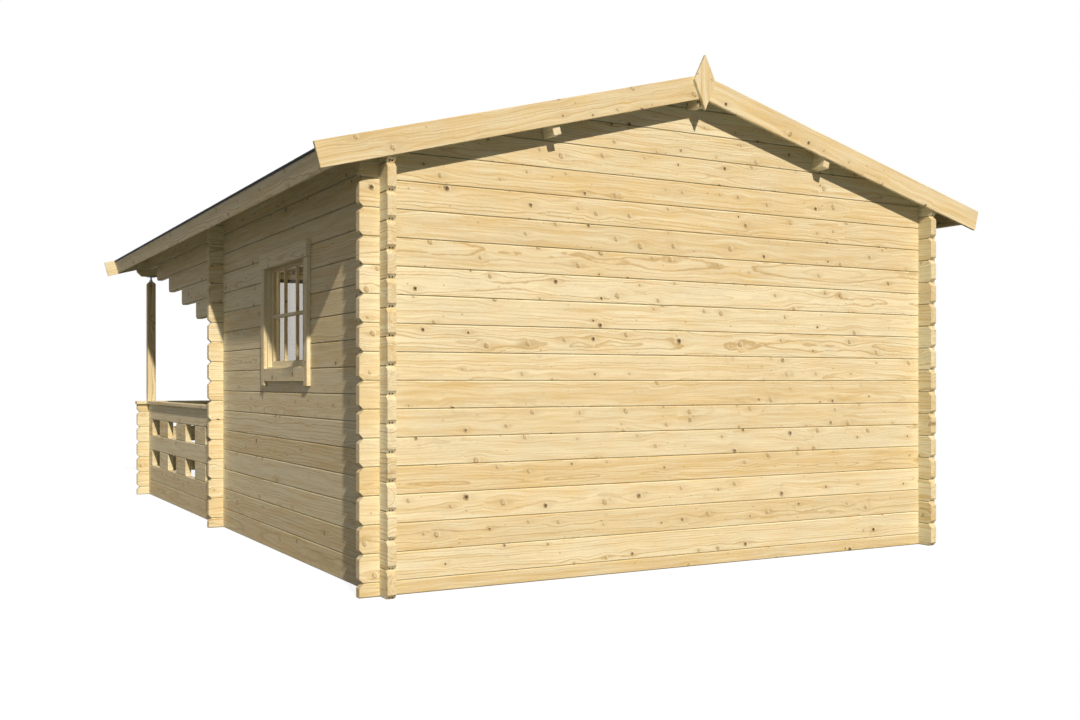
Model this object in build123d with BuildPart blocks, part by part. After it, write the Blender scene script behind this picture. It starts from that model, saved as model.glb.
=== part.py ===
"""Garden log cabin: one room and a roofed porch, built of cross-lapped pine logs."""
import os
from math import atan, ceil, cos, degrees, radians, sin, tan

from build123d import *

# Driving dimensions in millimetres.
# The origin is on the ground under the middle of the roof. The porch faces -Y and +Z is up.

# Logs
log_thickness = 44.0
log_pitch = 135.0
log_overhang = 100.0
end_chamfer = 22.0
seam_chamfer = 5.0
beam_end_chamfer = 40.0
fit_gap = 0.3

# Plan over the outer wall faces
cabin_width = 3600.0
room_depth = 3000.0
porch_depth = 2700.0

# Courses of logs, counted from the ground
side_courses = 16
porch_rail_courses = (0, 1, 3, 5)
porch_lattice_courses = (2, 4)
porch_rail_rows = (1, 3)
porch_lattice_rows = (0, 2, 4)
corbel_courses = (11, 12, 13, 14)
beam_course = 14

# Corbels: how far the lowest reaches past the room front wall, and how far the top one stops from the beam
corbel_first = 793.0
corbel_beam_clear = 366.0

# Roof
roof_slope = 15.0
roof_board_thickness = 20.0
felt_thickness = 5.0
felt_drip = 6.0
gable_overhang = 120.0
eave_reach = 265.0
bargeboard_reach = 351.0
bargeboard_width = 123.0
fascia_width = 110.0
trim_thickness = 18.0
fascia_joint_share = 0.36
purlin_thickness = 44.0
purlin_depth = 145.0
purlin_offset = 930.0
finial_width = 140.0
finial_top_rise = 103.0
finial_middle_drop = 38.0
finial_bottom_drop = 196.0

# Porch front and lattice rails
entrance_width = 1430.0
end_block_length = 155.0
side_block_length = 340.0
front_block_length = 160.0
side_blocks = 3
cap_thickness = 28.0
cap_width = 95.0
cap_nose = 8.0

# Porch posts
post_size = 70.0
post_screw_room = 64.0
post_taper_height = 17.0
post_top_size = 40.0
screw_diameter = 20.0
screw_plate_size = 64.0
screw_plate_thickness = 6.0
screw_nut_across_flats = 30.0
screw_nut_height = 14.0

# Windows
window_width = 794.0
side_window_middle = 1480.0
side_window_first_course = 8
side_window_courses = 5
front_casing_clear = 78.0
front_window_first_course = 6
front_window_courses = 7
settling_gap = 28.0
lining_thickness = 16.0
lining_depth = 78.0
lining_play = 3.0
sash_depth = 36.0
sash_member = 36.0
sash_setback = 24.0
sash_play = 2.0
pane_thickness = 4.0

# Casings round windows and door
casing_width = 62.0
casing_thickness = 22.0
casing_span_margin = 55.0
casing_foot_drop = 95.0
casing_head_height = 95.0
casing_head_rise = 34.0
casing_head_thickness = 30.0
casing_head_ear = 8.0
sill_board_height = 78.0
sill_board_drop = 69.0

# Door
door_width = 900.0
door_courses = 14
door_lining_thickness = 30.0
threshold_thickness = 20.0
door_play = 3.0
door_thickness = 40.0
door_setback = 30.0
door_stile = 100.0
door_top_rail = 100.0
door_middle_rail = 120.0
door_bottom_rail = 150.0
door_middle_rail_height = 780.0
door_panel_thickness = 18.0
handle_height = 1000.0
handle_plate_width = 42.0
handle_plate_height = 220.0
handle_plate_thickness = 4.0
handle_neck_diameter = 18.0
handle_neck_length = 48.0
handle_lever_length = 125.0
handle_lever_height = 20.0
handle_lever_thickness = 12.0

# Floor
bearer_width = 60.0
floor_thickness = 19.0
floor_step = 3.5
floor_play = 8.0
room_bearers = 6
porch_bearers = 5

# Places that follow from the sizes above
half_width = cabin_width / 2
half_log = log_pitch / 2
back_y = (room_depth + porch_depth) / 2
front_y = back_y - room_depth
porch_y = front_y - porch_depth
side_middle_x = half_width - log_thickness / 2
back_middle_y = back_y - log_thickness / 2
front_middle_y = front_y + log_thickness / 2
porch_middle_y = porch_y + log_thickness / 2
slope_cos = cos(radians(roof_slope))
slope_sin = sin(radians(roof_slope))
slope_rise = tan(radians(roof_slope))
eave_height = side_courses * log_pitch
ridge_height = eave_height + (half_width - log_thickness) * slope_rise
cross_courses = ceil((ridge_height - half_log) / log_pitch)
rail_height = (max(porch_rail_courses) + 1) * log_pitch
cap_top = rail_height + cap_thickness
beam_base = half_log + beam_course * log_pitch
bearer_height = half_log - floor_step - floor_thickness
roof_length = 2 * (back_y + gable_overhang - trim_thickness)
lap_gap = fit_gap / 2
notch_half = log_thickness / 2 + fit_gap

os.makedirs("parts", exist_ok=True)


def save(piece, name):
    """Label a finished piece and write it to its own file."""
    piece.part.label = name
    export_step(piece.part, f"parts/{name}.step")


def mirrored(piece):
    """The same piece on the other side of the cabin."""
    with BuildPart() as other_side:
        mirror(piece.part, about=Plane.YZ)
    return other_side


def log_outline(start, end, base, height, laps_below, laps_above, start_cut, end_cut):
    """Elevation of one log, notched a quarter of its pitch where crossing logs lap it.

    start_cut and end_cut give the chamfers at the lower and upper corner of each log end.
    """
    top = base + height - fit_gap
    lower_lap = base + log_pitch / 4 + lap_gap
    upper_lap = base + height - log_pitch / 4 - lap_gap
    points = [(start, base + start_cut[0]), (start + start_cut[0], base)]
    for place in laps_below:
        points += [(place - notch_half, base), (place - notch_half, lower_lap)]
        points += [(place + notch_half, lower_lap), (place + notch_half, base)]
    points += [(end - end_cut[0], base), (end, base + end_cut[0])]
    points += [(end, top - end_cut[1]), (end - end_cut[1], top)]
    for place in reversed(laps_above):
        points += [(place + notch_half, top), (place + notch_half, upper_lap)]
        points += [(place - notch_half, upper_lap), (place - notch_half, top)]
    points += [(start + start_cut[1], top), (start, top - start_cut[1])]
    return [point for number, point in enumerate(points) if point != points[number - 1]]


def log_section(low_face, base, height):
    """Cross-section of one log, with its long edges chamfered for the V joints."""
    high_face = low_face + log_thickness
    top = base + height - fit_gap
    return [
        (low_face + seam_chamfer, base),
        (high_face - seam_chamfer, base),
        (high_face, base + seam_chamfer),
        (high_face, top - seam_chamfer),
        (high_face - seam_chamfer, top),
        (low_face + seam_chamfer, top),
        (low_face, top - seam_chamfer),
        (low_face, base + seam_chamfer),
    ]


def lay_logs(outlines, outline_plane, sections, section_plane):
    """Stack of separate logs, each shaped by its elevation and its cross-section."""
    with BuildPart() as logs:
        with BuildSketch(outline_plane):
            for outline in outlines:
                with BuildLine():
                    Polyline(*outline, close=True)
                make_face()
        extrude(amount=log_thickness)
        with BuildSketch(section_plane):
            for section in sections:
                with BuildLine():
                    Polyline(*section, close=True)
                make_face()
        extrude(amount=room_depth + porch_depth, both=True, mode=Mode.INTERSECT)
    return logs


both_cut = (end_chamfer, end_chamfer)
upper_cut = (0, end_chamfer)
no_cut = (0, 0)
side_crossings = [-side_middle_x, side_middle_x]
log_end_x = half_width + log_overhang


def cross_log(course, lower_cut, laps_below, laps_above):
    """One log of a wall across the cabin, as an outline, up to the roof line in the gable."""
    base = half_log + course * log_pitch
    end_x = min(log_end_x, (ridge_height - base) / slope_rise)
    end_cut = no_cut if end_x < log_end_x else (lower_cut, end_chamfer)
    return log_outline(-end_x, end_x, base, log_pitch, laps_below, laps_above, end_cut, end_cut)


def cross_wall(outer_y, outlines, bands):
    """Cross wall of stacked logs, cut to the roof slopes and slotted for the three purlins."""
    near_y = outer_y + log_thickness
    sections = [log_section(outer_y, base, height) for base, height in bands]
    logs = lay_logs(outlines, Plane.XZ.offset(-near_y), sections, Plane.YZ)
    with BuildPart() as wall:
        add(logs.part)
        with BuildSketch(Plane.XZ.offset(-near_y)):
            with BuildLine():
                Polyline(
                    (-cabin_width, 0),
                    (cabin_width, 0),
                    (cabin_width, ridge_height - fit_gap - cabin_width * slope_rise),
                    (0, ridge_height - fit_gap),
                    (-cabin_width, ridge_height - fit_gap - cabin_width * slope_rise),
                    close=True,
                )
            make_face()
        extrude(amount=log_thickness, mode=Mode.INTERSECT)
        for side in (-1, 1):
            with BuildSketch(purlin_plane(side)):
                Rectangle(
                    purlin_thickness + 2 * fit_gap,
                    purlin_depth + fit_gap,
                    align=(Align.CENTER, Align.MAX),
                )
            extrude(amount=roof_length, both=True, mode=Mode.SUBTRACT)
        with BuildSketch(Plane.XZ):
            with Locations((0, ridge_height)):
                Rectangle(
                    purlin_thickness + 2 * fit_gap,
                    purlin_depth + fit_gap,
                    align=(Align.CENTER, Align.MAX),
                )
        extrude(amount=roof_length, both=True, mode=Mode.SUBTRACT)
    return wall


def slope_plane(side, place_y=0):
    """Plane across a roof slope: x runs down from the ridge, y is square to the boards."""
    return Plane(
        origin=(0, place_y, ridge_height),
        x_dir=(side * slope_cos, 0, -slope_sin),
        z_dir=(0, -side, 0),
    )


def purlin_plane(side):
    """Plane across a side purlin, with its origin in the middle of the purlin's top edge."""
    return Plane(
        origin=(side * purlin_offset, 0, ridge_height - purlin_offset * slope_rise),
        x_dir=(side * slope_cos, 0, -slope_sin),
        z_dir=(0, -side, 0),
    )


# Logs of a full cross wall: a half log on the ground, then whole logs to the ridge
sill_log = log_outline(
    -log_end_x, log_end_x, 0, half_log, [], side_crossings, upper_cut, upper_cut
)
wall_outlines = [sill_log]
wall_bands = [(0, half_log)]
for course in range(cross_courses):
    laps_below = side_crossings if course < side_courses else []
    laps_above = side_crossings if course < side_courses - 1 else []
    wall_outlines.append(cross_log(course, end_chamfer, laps_below, laps_above))
    wall_bands.append((half_log + course * log_pitch, log_pitch))

# Back wall
back_wall = cross_wall(back_y - log_thickness, wall_outlines, wall_bands)
save(back_wall, "back_wall")

# Room front wall, cut for the door and a window each side of it
front_casing_half = window_width / 2 + casing_span_margin + casing_head_ear
front_window_x = half_width - log_thickness - front_casing_clear - front_casing_half
front_window_base = half_log + front_window_first_course * log_pitch
front_window_top = front_window_base + front_window_courses * log_pitch
door_base = half_log
door_top = half_log + door_courses * log_pitch
front_logs = cross_wall(front_y, wall_outlines, wall_bands)
with BuildPart() as front_wall:
    add(front_logs.part)
    with BuildSketch(Plane.XZ):
        with Locations((-front_window_x, front_window_base), (front_window_x, front_window_base)):
            Rectangle(
                window_width,
                front_window_top - front_window_base - fit_gap,
                align=(Align.CENTER, Align.MIN),
            )
        with Locations((0, door_base - fit_gap)):
            Rectangle(door_width, door_top - door_base, align=(Align.CENTER, Align.MIN))
    extrude(amount=room_depth, both=True, mode=Mode.SUBTRACT)
save(front_wall, "front_wall")

# Porch gable: a beam on the posts, with the gable logs above it
gable_outlines = [cross_log(beam_course, beam_end_chamfer, [], side_crossings)]
gable_bands = [(beam_base, log_pitch)]
for course in range(beam_course + 1, cross_courses):
    laps_below = side_crossings if course < side_courses else []
    gable_outlines.append(cross_log(course, end_chamfer, laps_below, []))
    gable_bands.append((half_log + course * log_pitch, log_pitch))
porch_gable = cross_wall(porch_y, gable_outlines, gable_bands)
save(porch_gable, "porch_gable")

# Side walls: full-length rails and top log, stepped corbels, and logs that end past the room front
room_crossings = [front_middle_y, back_middle_y]
porch_crossings = [porch_middle_y, front_middle_y, back_middle_y]
log_back_end = back_y + log_overhang
corbel_rise = porch_depth - log_thickness - corbel_beam_clear - corbel_first
corbel_step = corbel_rise / (len(corbel_courses) - 1)
side_outlines = []
side_bands = []
for course in range(side_courses):
    crossings = room_crossings
    log_front_end = front_y - log_overhang
    if course in porch_rail_courses or course == side_courses - 1:
        crossings = porch_crossings
        log_front_end = porch_y - log_overhang
    if course in porch_lattice_courses:
        log_front_end = front_y - end_block_length
    if course in corbel_courses:
        log_front_end = front_y - corbel_first - corbel_step * corbel_courses.index(course)
    base = course * log_pitch
    front_cut = (end_chamfer, 0) if course in corbel_courses else both_cut
    if course in porch_lattice_courses:
        front_cut = no_cut
    side_outlines.append(
        log_outline(
            log_front_end, log_back_end, base, log_pitch, crossings, crossings, front_cut, both_cut
        )
    )
    side_bands.append((base, log_pitch))
side_sections = [
    log_section(half_width - log_thickness, base, height) for base, height in side_bands
]
side_window_y = back_y - side_window_middle
side_window_base = side_window_first_course * log_pitch
side_window_top = side_window_base + side_window_courses * log_pitch
side_logs = lay_logs(
    side_outlines, Plane.YZ.offset(half_width - log_thickness), side_sections, Plane.XZ
)
with BuildPart() as right_wall:
    add(side_logs.part)
    with BuildSketch(Plane.YZ):
        with Locations((side_window_y, side_window_base)):
            Rectangle(
                window_width,
                side_window_top - side_window_base - fit_gap,
                align=(Align.CENTER, Align.MIN),
            )
    extrude(amount=cabin_width, mode=Mode.SUBTRACT)
    with BuildSketch(slope_plane(1)):
        with Locations((0, -fit_gap)):
            Rectangle(cabin_width, log_pitch, align=(Align.MIN, Align.MIN))
    extrude(amount=room_depth + porch_depth, both=True, mode=Mode.SUBTRACT)
save(right_wall, "right_wall")
left_wall = mirrored(right_wall)
save(left_wall, "left_wall")

# Lattice blocks in the porch side rails
side_clear = porch_depth - log_thickness
side_block_gap = (side_clear - 2 * end_block_length - side_blocks * side_block_length) / (side_blocks + 1)
side_block_outlines = []
side_block_sections = []
for course in porch_lattice_courses:
    base = course * log_pitch
    corner_end = porch_y + log_thickness + end_block_length
    side_block_outlines.append(
        log_outline(
            porch_y - log_overhang,
            corner_end,
            base,
            log_pitch,
            [porch_middle_y],
            [porch_middle_y],
            both_cut,
            no_cut,
        )
    )
    for block in range(side_blocks):
        block_start = corner_end + side_block_gap + block * (side_block_length + side_block_gap)
        block_end = block_start + side_block_length
        side_block_outlines.append(
            log_outline(block_start, block_end, base, log_pitch, [], [], no_cut, no_cut)
        )
    side_block_sections.append(log_section(half_width - log_thickness, base, log_pitch))
right_blocks = lay_logs(
    side_block_outlines,
    Plane.YZ.offset(half_width - log_thickness),
    side_block_sections,
    Plane.XZ,
)
with BuildPart() as porch_side_blocks:
    add(right_blocks.part)
    mirror(right_blocks.part, about=Plane.YZ)
save(porch_side_blocks, "porch_side_blocks")

# Porch front rails: sill log right across, then rails from each corner to the entrance
entrance_x = entrance_width / 2
rail_outlines = []
rail_sections = [log_section(porch_y, 0, half_log)]
for row in porch_rail_rows:
    base = half_log + row * log_pitch
    crossings = [side_middle_x]
    rail_outlines.append(
        log_outline(entrance_x, log_end_x, base, log_pitch, crossings, crossings, no_cut, both_cut)
    )
    rail_sections.append(log_section(porch_y, base, log_pitch))
top_rail_base = rail_height - half_log
rail_outlines.append(
    log_outline(
        entrance_x,
        log_end_x,
        top_rail_base,
        half_log,
        [side_middle_x],
        [],
        no_cut,
        (end_chamfer, 0),
    )
)
rail_sections.append(log_section(porch_y, top_rail_base, half_log))
rail_outlines += [[(-x, z) for x, z in reversed(outline)] for outline in rail_outlines]
porch_front_plane = Plane.XZ.offset(-porch_y - log_thickness)
porch_front_rails = lay_logs([sill_log] + rail_outlines, porch_front_plane, rail_sections, Plane.YZ)
save(porch_front_rails, "porch_front_rails")

# Lattice blocks in the porch front rails
rail_clear = half_width - log_thickness - entrance_x
front_block_x = entrance_x + rail_clear / 2
front_block_outlines = []
front_block_sections = []
for row in porch_lattice_rows:
    base = half_log + row * log_pitch
    entrance_end = entrance_x + end_block_length
    corner_start = half_width - log_thickness - end_block_length
    block_start = front_block_x - front_block_length / 2
    block_end = front_block_x + front_block_length / 2
    crossings = [side_middle_x]
    front_block_outlines += [
        log_outline(entrance_x, entrance_end, base, log_pitch, [], [], no_cut, no_cut),
        log_outline(block_start, block_end, base, log_pitch, [], [], no_cut, no_cut),
        log_outline(
            corner_start, log_end_x, base, log_pitch, crossings, crossings, no_cut, both_cut
        ),
    ]
    front_block_sections.append(log_section(porch_y, base, log_pitch))
front_block_outlines += [
    [(-x, z) for x, z in reversed(outline)] for outline in front_block_outlines
]
porch_front_blocks = lay_logs(
    front_block_outlines, porch_front_plane, front_block_sections, Plane.YZ
)
save(porch_front_blocks, "porch_front_blocks")

# Handrail caps on the porch rails
cap_inner_y = porch_middle_y + cap_width / 2
side_cap_end = front_y - log_overhang - fit_gap
side_cap_length = side_cap_end - cap_inner_y - fit_gap
front_cap_start = entrance_x - cap_nose
front_cap_length = log_end_x + cap_nose - front_cap_start
with BuildPart() as right_caps:
    with BuildSketch(Plane.XY.offset(rail_height)):
        with Locations((side_middle_x, side_cap_end)):
            Rectangle(cap_width, side_cap_length, align=(Align.CENTER, Align.MAX))
        with Locations((front_cap_start, porch_middle_y)):
            Rectangle(front_cap_length, cap_width, align=(Align.MIN, Align.CENTER))
    extrude(amount=cap_thickness)
with BuildPart() as handrail_caps:
    add(right_caps.part)
    mirror(right_caps.part, about=Plane.YZ)
save(handrail_caps, "handrail_caps")

# Porch posts with tapered tops, and the adjusting screws that carry the beam
post_top = beam_base - post_screw_room
entrance_post_x = entrance_x + post_size / 2
post_places = [
    (side * post_x, porch_middle_y)
    for side in (-1, 1)
    for post_x in (side_middle_x, entrance_post_x)
]
post_taper = degrees(atan((post_size - post_top_size) / 2 / post_taper_height))
with BuildPart() as porch_posts:
    with BuildSketch(Plane.XY.offset(cap_top)):
        with Locations(*post_places):
            Rectangle(post_size, post_size)
    extrude(amount=post_top - cap_top)
    with BuildSketch(Plane.XY.offset(post_top)):
        with Locations(*post_places):
            Rectangle(post_size, post_size)
    extrude(amount=post_taper_height, taper=post_taper)
save(porch_posts, "porch_posts")

screw_base = post_top + post_taper_height
with BuildPart() as post_screws:
    with BuildSketch(Plane.XY.offset(screw_base)):
        with Locations(*post_places):
            RegularPolygon(screw_nut_across_flats / 2, 6, major_radius=False)
    extrude(amount=screw_nut_height)
    with BuildSketch(Plane.XY.offset(screw_base)):
        with Locations(*post_places):
            Circle(screw_diameter / 2)
    extrude(amount=beam_base - screw_base)
    with BuildSketch(Plane.XY.offset(beam_base - screw_plate_thickness)):
        with Locations(*post_places):
            Rectangle(screw_plate_size, screw_plate_size)
    extrude(amount=screw_plate_thickness)
save(post_screws, "post_screws")

# Purlins: an upright ridge purlin with a peaked top, and one square to each slope
with BuildPart() as ridge_purlin:
    with BuildSketch(Plane.XZ):
        with BuildLine():
            Polyline(
                (-purlin_thickness / 2, ridge_height - purlin_depth),
                (purlin_thickness / 2, ridge_height - purlin_depth),
                (purlin_thickness / 2, ridge_height - fit_gap - purlin_thickness / 2 * slope_rise),
                (0, ridge_height - fit_gap),
                (-purlin_thickness / 2, ridge_height - fit_gap - purlin_thickness / 2 * slope_rise),
                close=True,
            )
        make_face()
    extrude(amount=roof_length / 2, both=True)
save(ridge_purlin, "ridge_purlin")

with BuildPart() as right_purlin:
    with BuildSketch(purlin_plane(1)):
        with Locations((0, -fit_gap)):
            Rectangle(
                purlin_thickness, purlin_depth - fit_gap, align=(Align.CENTER, Align.MAX)
            )
    extrude(amount=roof_length / 2, both=True)
save(right_purlin, "right_purlin")
left_purlin = mirrored(right_purlin)
save(left_purlin, "left_purlin")

# Roof covering: boards and felt, drawn across the slope and mitred at the ridge
fascia_face = (half_width + eave_reach) / slope_cos
board_end = fascia_face - trim_thickness - fit_gap
felt_base = roof_board_thickness
felt_top = roof_board_thickness + felt_thickness


def slope_layer(low, high, end):
    """One layer of the roof on the right slope, from the ridge mitre down to its eave end."""
    with BuildPart() as layer:
        with BuildSketch(slope_plane(1)):
            with BuildLine():
                Polyline(
                    (fit_gap - low * slope_rise, low),
                    (end, low),
                    (end, high),
                    (fit_gap - high * slope_rise, high),
                    close=True,
                )
            make_face()
        extrude(amount=roof_length / 2 - fit_gap, both=True)
    return layer


roof_boards_right = slope_layer(0, roof_board_thickness - fit_gap, board_end)
save(roof_boards_right, "roof_boards_right")
save(mirrored(roof_boards_right), "roof_boards_left")
roofing_felt_right = slope_layer(felt_base, felt_top, fascia_face + felt_drip)
save(roofing_felt_right, "roofing_felt_right")
save(mirrored(roofing_felt_right), "roofing_felt_left")

# Eave fascias: each in two lengths that butt, square to the slope under the felt edge
fascia_length = roof_length - 2 * fit_gap
fascia_first = fascia_length * fascia_joint_share
fascia_second = fascia_length - fascia_first - fit_gap
with BuildPart() as eave_fascia_right:
    for fascia_start, length in (
        (-fascia_length / 2, fascia_first),
        (fascia_length / 2 - fascia_second, fascia_second),
    ):
        with BuildSketch(slope_plane(1, fascia_start)):
            with Locations((fascia_face, felt_base - fit_gap)):
                Rectangle(trim_thickness, fascia_width, align=(Align.MAX, Align.MAX))
        extrude(amount=-length)
save(eave_fascia_right, "eave_fascia_right")
save(mirrored(eave_fascia_right), "eave_fascia_left")

# Bargeboards on both gables, mitred at the ridge and cut square at the eaves
bargeboard_end = (half_width + bargeboard_reach) / slope_cos
bargeboard_low = felt_top - bargeboard_width


def bargeboard_pair(inner_y, direction):
    """Two bargeboards over one gable."""
    with BuildPart() as board:
        with BuildSketch(slope_plane(1, inner_y)):
            with BuildLine():
                Polyline(
                    (fit_gap - bargeboard_low * slope_rise, bargeboard_low),
                    (bargeboard_end, bargeboard_low),
                    (bargeboard_end, felt_top),
                    (fit_gap - felt_top * slope_rise, felt_top),
                    close=True,
                )
            make_face()
        extrude(amount=-direction * trim_thickness)
    with BuildPart() as pair:
        add(board.part)
        mirror(board.part, about=Plane.YZ)
    return pair


bargeboards_back = bargeboard_pair(roof_length / 2, 1)
save(bargeboards_back, "bargeboards_back")
bargeboards_front = bargeboard_pair(-roof_length / 2, -1)
save(bargeboards_front, "bargeboards_front")

# Finials: pointed boards over the meeting of each pair of bargeboards
roof_top = ridge_height + felt_top / slope_cos
finial_plane_y = roof_length / 2 + trim_thickness
with BuildPart() as back_finial:
    with BuildSketch(Plane.XZ.offset(-finial_plane_y)):
        with BuildLine():
            Polyline(
                (0, roof_top + finial_top_rise),
                (finial_width / 2, roof_top - finial_middle_drop),
                (0, roof_top - finial_bottom_drop),
                (-finial_width / 2, roof_top - finial_middle_drop),
                close=True,
            )
        make_face()
    extrude(amount=-trim_thickness)
with BuildPart() as finials:
    add(back_finial.part)
    mirror(back_finial.part, about=Plane.XZ)
save(finials, "finials")


def casing_boards(plane, width, foot, top, sill_base):
    """Casing of an opening: two upright boards, a head over them and, on windows, a sill board."""
    head_base = top + casing_head_rise - casing_head_height
    upright_x = width / 2 + casing_span_margin - casing_width / 2
    span = width + 2 * casing_span_margin
    with BuildPart() as casing:
        with BuildSketch(plane):
            with Locations((-upright_x, foot), (upright_x, foot)):
                Rectangle(casing_width, head_base - fit_gap - foot, align=(Align.CENTER, Align.MIN))
            if sill_base > foot:
                with Locations((0, sill_base)):
                    Rectangle(
                        span - 2 * casing_width - 2 * fit_gap,
                        sill_board_height,
                        align=(Align.CENTER, Align.MIN),
                    )
        extrude(amount=casing_thickness)
        with BuildSketch(plane):
            with Locations((0, head_base)):
                Rectangle(
                    span + 2 * casing_head_ear, casing_head_height, align=(Align.CENTER, Align.MIN)
                )
        extrude(amount=casing_head_thickness)
    return casing


def member_ring(plane, width, base, top, member, sill_member, depth):
    """Four separate members round an opening: uprights between a sill and a head."""
    with BuildPart() as ring:
        with BuildSketch(plane):
            with Locations((0, base)):
                Rectangle(width, sill_member, align=(Align.CENTER, Align.MIN))
            with Locations((0, top)):
                Rectangle(width, member, align=(Align.CENTER, Align.MAX))
            upright_base = base + sill_member + fit_gap
            upright_x = width / 2 - member / 2
            with Locations((-upright_x, upright_base), (upright_x, upright_base)):
                Rectangle(
                    member, top - member - fit_gap - upright_base, align=(Align.CENTER, Align.MIN)
                )
        extrude(amount=-depth)
    return ring


pane_setback = sash_setback + sash_depth / 2 - pane_thickness / 2


def window(plane, base, top):
    """Casing, lining, sash and pane of one window whose log opening runs from base to top."""
    casing = casing_boards(
        plane, window_width, base - casing_foot_drop, top, base - sill_board_drop
    )
    lining_width = window_width - 2 * lining_play
    lining_top = top - settling_gap
    lining = member_ring(
        plane.offset(-fit_gap),
        lining_width,
        base + fit_gap,
        lining_top,
        lining_thickness,
        lining_thickness,
        lining_depth,
    )
    sash_width = lining_width - 2 * lining_thickness - 2 * sash_play
    sash_base = base + fit_gap + lining_thickness + fit_gap
    sash_top = lining_top - lining_thickness - sash_play
    sash = member_ring(
        plane.offset(-sash_setback),
        sash_width,
        sash_base,
        sash_top,
        sash_member,
        sash_member,
        sash_depth,
    )
    pane_base = sash_base + sash_member + fit_gap
    with BuildPart() as pane:
        with BuildSketch(plane.offset(-pane_setback)):
            with Locations((0, pane_base)):
                Rectangle(
                    sash_width - 2 * sash_member - 2 * fit_gap,
                    sash_top - sash_member - fit_gap - pane_base,
                    align=(Align.CENTER, Align.MIN),
                )
        extrude(amount=-pane_thickness)
    return casing, lining, sash, pane


# Windows: one in each side wall, one each side of the door
right_window_plane = Plane(
    origin=(half_width + fit_gap, side_window_y, 0), x_dir=(0, 1, 0), z_dir=(1, 0, 0)
)
front_window_plane = Plane(
    origin=(front_window_x, front_y - fit_gap, 0), x_dir=(1, 0, 0), z_dir=(0, -1, 0)
)
side_window = window(right_window_plane, side_window_base, side_window_top)
front_window = window(front_window_plane, front_window_base, front_window_top)
for window_set, names in (
    (side_window, ("right_window", "left_window")),
    (front_window, ("front_right_window", "front_left_window")),
):
    for piece, kind in zip(window_set, ("casing", "lining", "sash")):
        save(piece, f"{names[0]}_{kind}")
        save(mirrored(piece), f"{names[1]}_{kind}")
with BuildPart() as window_glass:
    for window_set in (side_window, front_window):
        add(window_set[-1].part)
        mirror(window_set[-1].part, about=Plane.YZ)
save(window_glass, "window_glass")

# Door: casing and lining, then a leaf of stiles, rails and a lower panel with a pane above
door_plane = Plane(origin=(0, front_y - fit_gap, 0), x_dir=(1, 0, 0), z_dir=(0, -1, 0))
door_casing = casing_boards(door_plane, door_width, door_base, door_top, door_base)
save(door_casing, "door_casing")

door_lining_width = door_width - 2 * lining_play
door_lining_top = door_top - settling_gap
door_lining = member_ring(
    door_plane.offset(-fit_gap),
    door_lining_width,
    door_base,
    door_lining_top,
    door_lining_thickness,
    threshold_thickness,
    lining_depth,
)
save(door_lining, "door_lining")

leaf_width = door_lining_width - 2 * door_lining_thickness - 2 * door_play
leaf_base = door_base + threshold_thickness + fit_gap
leaf_top = door_lining_top - door_lining_thickness - door_play
stile_x = leaf_width / 2 - door_stile / 2
field_width = leaf_width - 2 * door_stile - 2 * fit_gap
middle_rail_base = leaf_base + door_middle_rail_height
middle_rail_top = middle_rail_base + door_middle_rail
panel_base = leaf_base + door_bottom_rail + fit_gap
panel_setback = door_setback + door_thickness / 2 - door_panel_thickness / 2
with BuildPart() as door_leaf:
    with BuildSketch(door_plane.offset(-door_setback)):
        with Locations((-stile_x, leaf_base), (stile_x, leaf_base)):
            Rectangle(door_stile, leaf_top - leaf_base, align=(Align.CENTER, Align.MIN))
        with Locations((0, leaf_base)):
            Rectangle(field_width, door_bottom_rail, align=(Align.CENTER, Align.MIN))
        with Locations((0, middle_rail_base)):
            Rectangle(field_width, door_middle_rail, align=(Align.CENTER, Align.MIN))
        with Locations((0, leaf_top)):
            Rectangle(field_width, door_top_rail, align=(Align.CENTER, Align.MAX))
    extrude(amount=-door_thickness)
    with BuildSketch(door_plane.offset(-panel_setback)):
        with Locations((0, panel_base)):
            Rectangle(
                field_width, middle_rail_base - fit_gap - panel_base, align=(Align.CENTER, Align.MIN)
            )
    extrude(amount=-door_panel_thickness)
save(door_leaf, "door_leaf")

door_pane_setback = door_setback + door_thickness / 2 - pane_thickness / 2
door_pane_base = middle_rail_top + fit_gap
with BuildPart() as door_glass:
    with BuildSketch(door_plane.offset(-door_pane_setback)):
        with Locations((0, door_pane_base)):
            Rectangle(
                field_width,
                leaf_top - door_top_rail - fit_gap - door_pane_base,
                align=(Align.CENTER, Align.MIN),
            )
    extrude(amount=-pane_thickness)
save(door_glass, "door_glass")

# Door handle: a plate, a neck and a lever on each face of the left stile
handle_x = -stile_x
handle_z = leaf_base + handle_height
with BuildPart() as outer_handle:
    with BuildSketch(door_plane.offset(-door_setback + fit_gap)):
        with Locations((handle_x, handle_z)):
            Rectangle(handle_plate_width, handle_plate_height)
    extrude(amount=handle_plate_thickness)
    with BuildSketch(door_plane.offset(-door_setback + fit_gap)):
        with Locations((handle_x, handle_z)):
            Circle(handle_neck_diameter / 2)
    extrude(amount=handle_neck_length)
    with BuildSketch(door_plane.offset(-door_setback + fit_gap + handle_neck_length)):
        with Locations((handle_x - handle_neck_diameter / 2, handle_z)):
            Rectangle(
                handle_lever_length, handle_lever_height, align=(Align.MIN, Align.CENTER)
            )
    extrude(amount=handle_lever_thickness)
door_middle_y = front_y - fit_gap + door_setback + door_thickness / 2
with BuildPart() as door_handle:
    add(outer_handle.part)
    mirror(outer_handle.part, about=Plane.XZ.offset(-door_middle_y))
save(door_handle, "door_handle")

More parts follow.
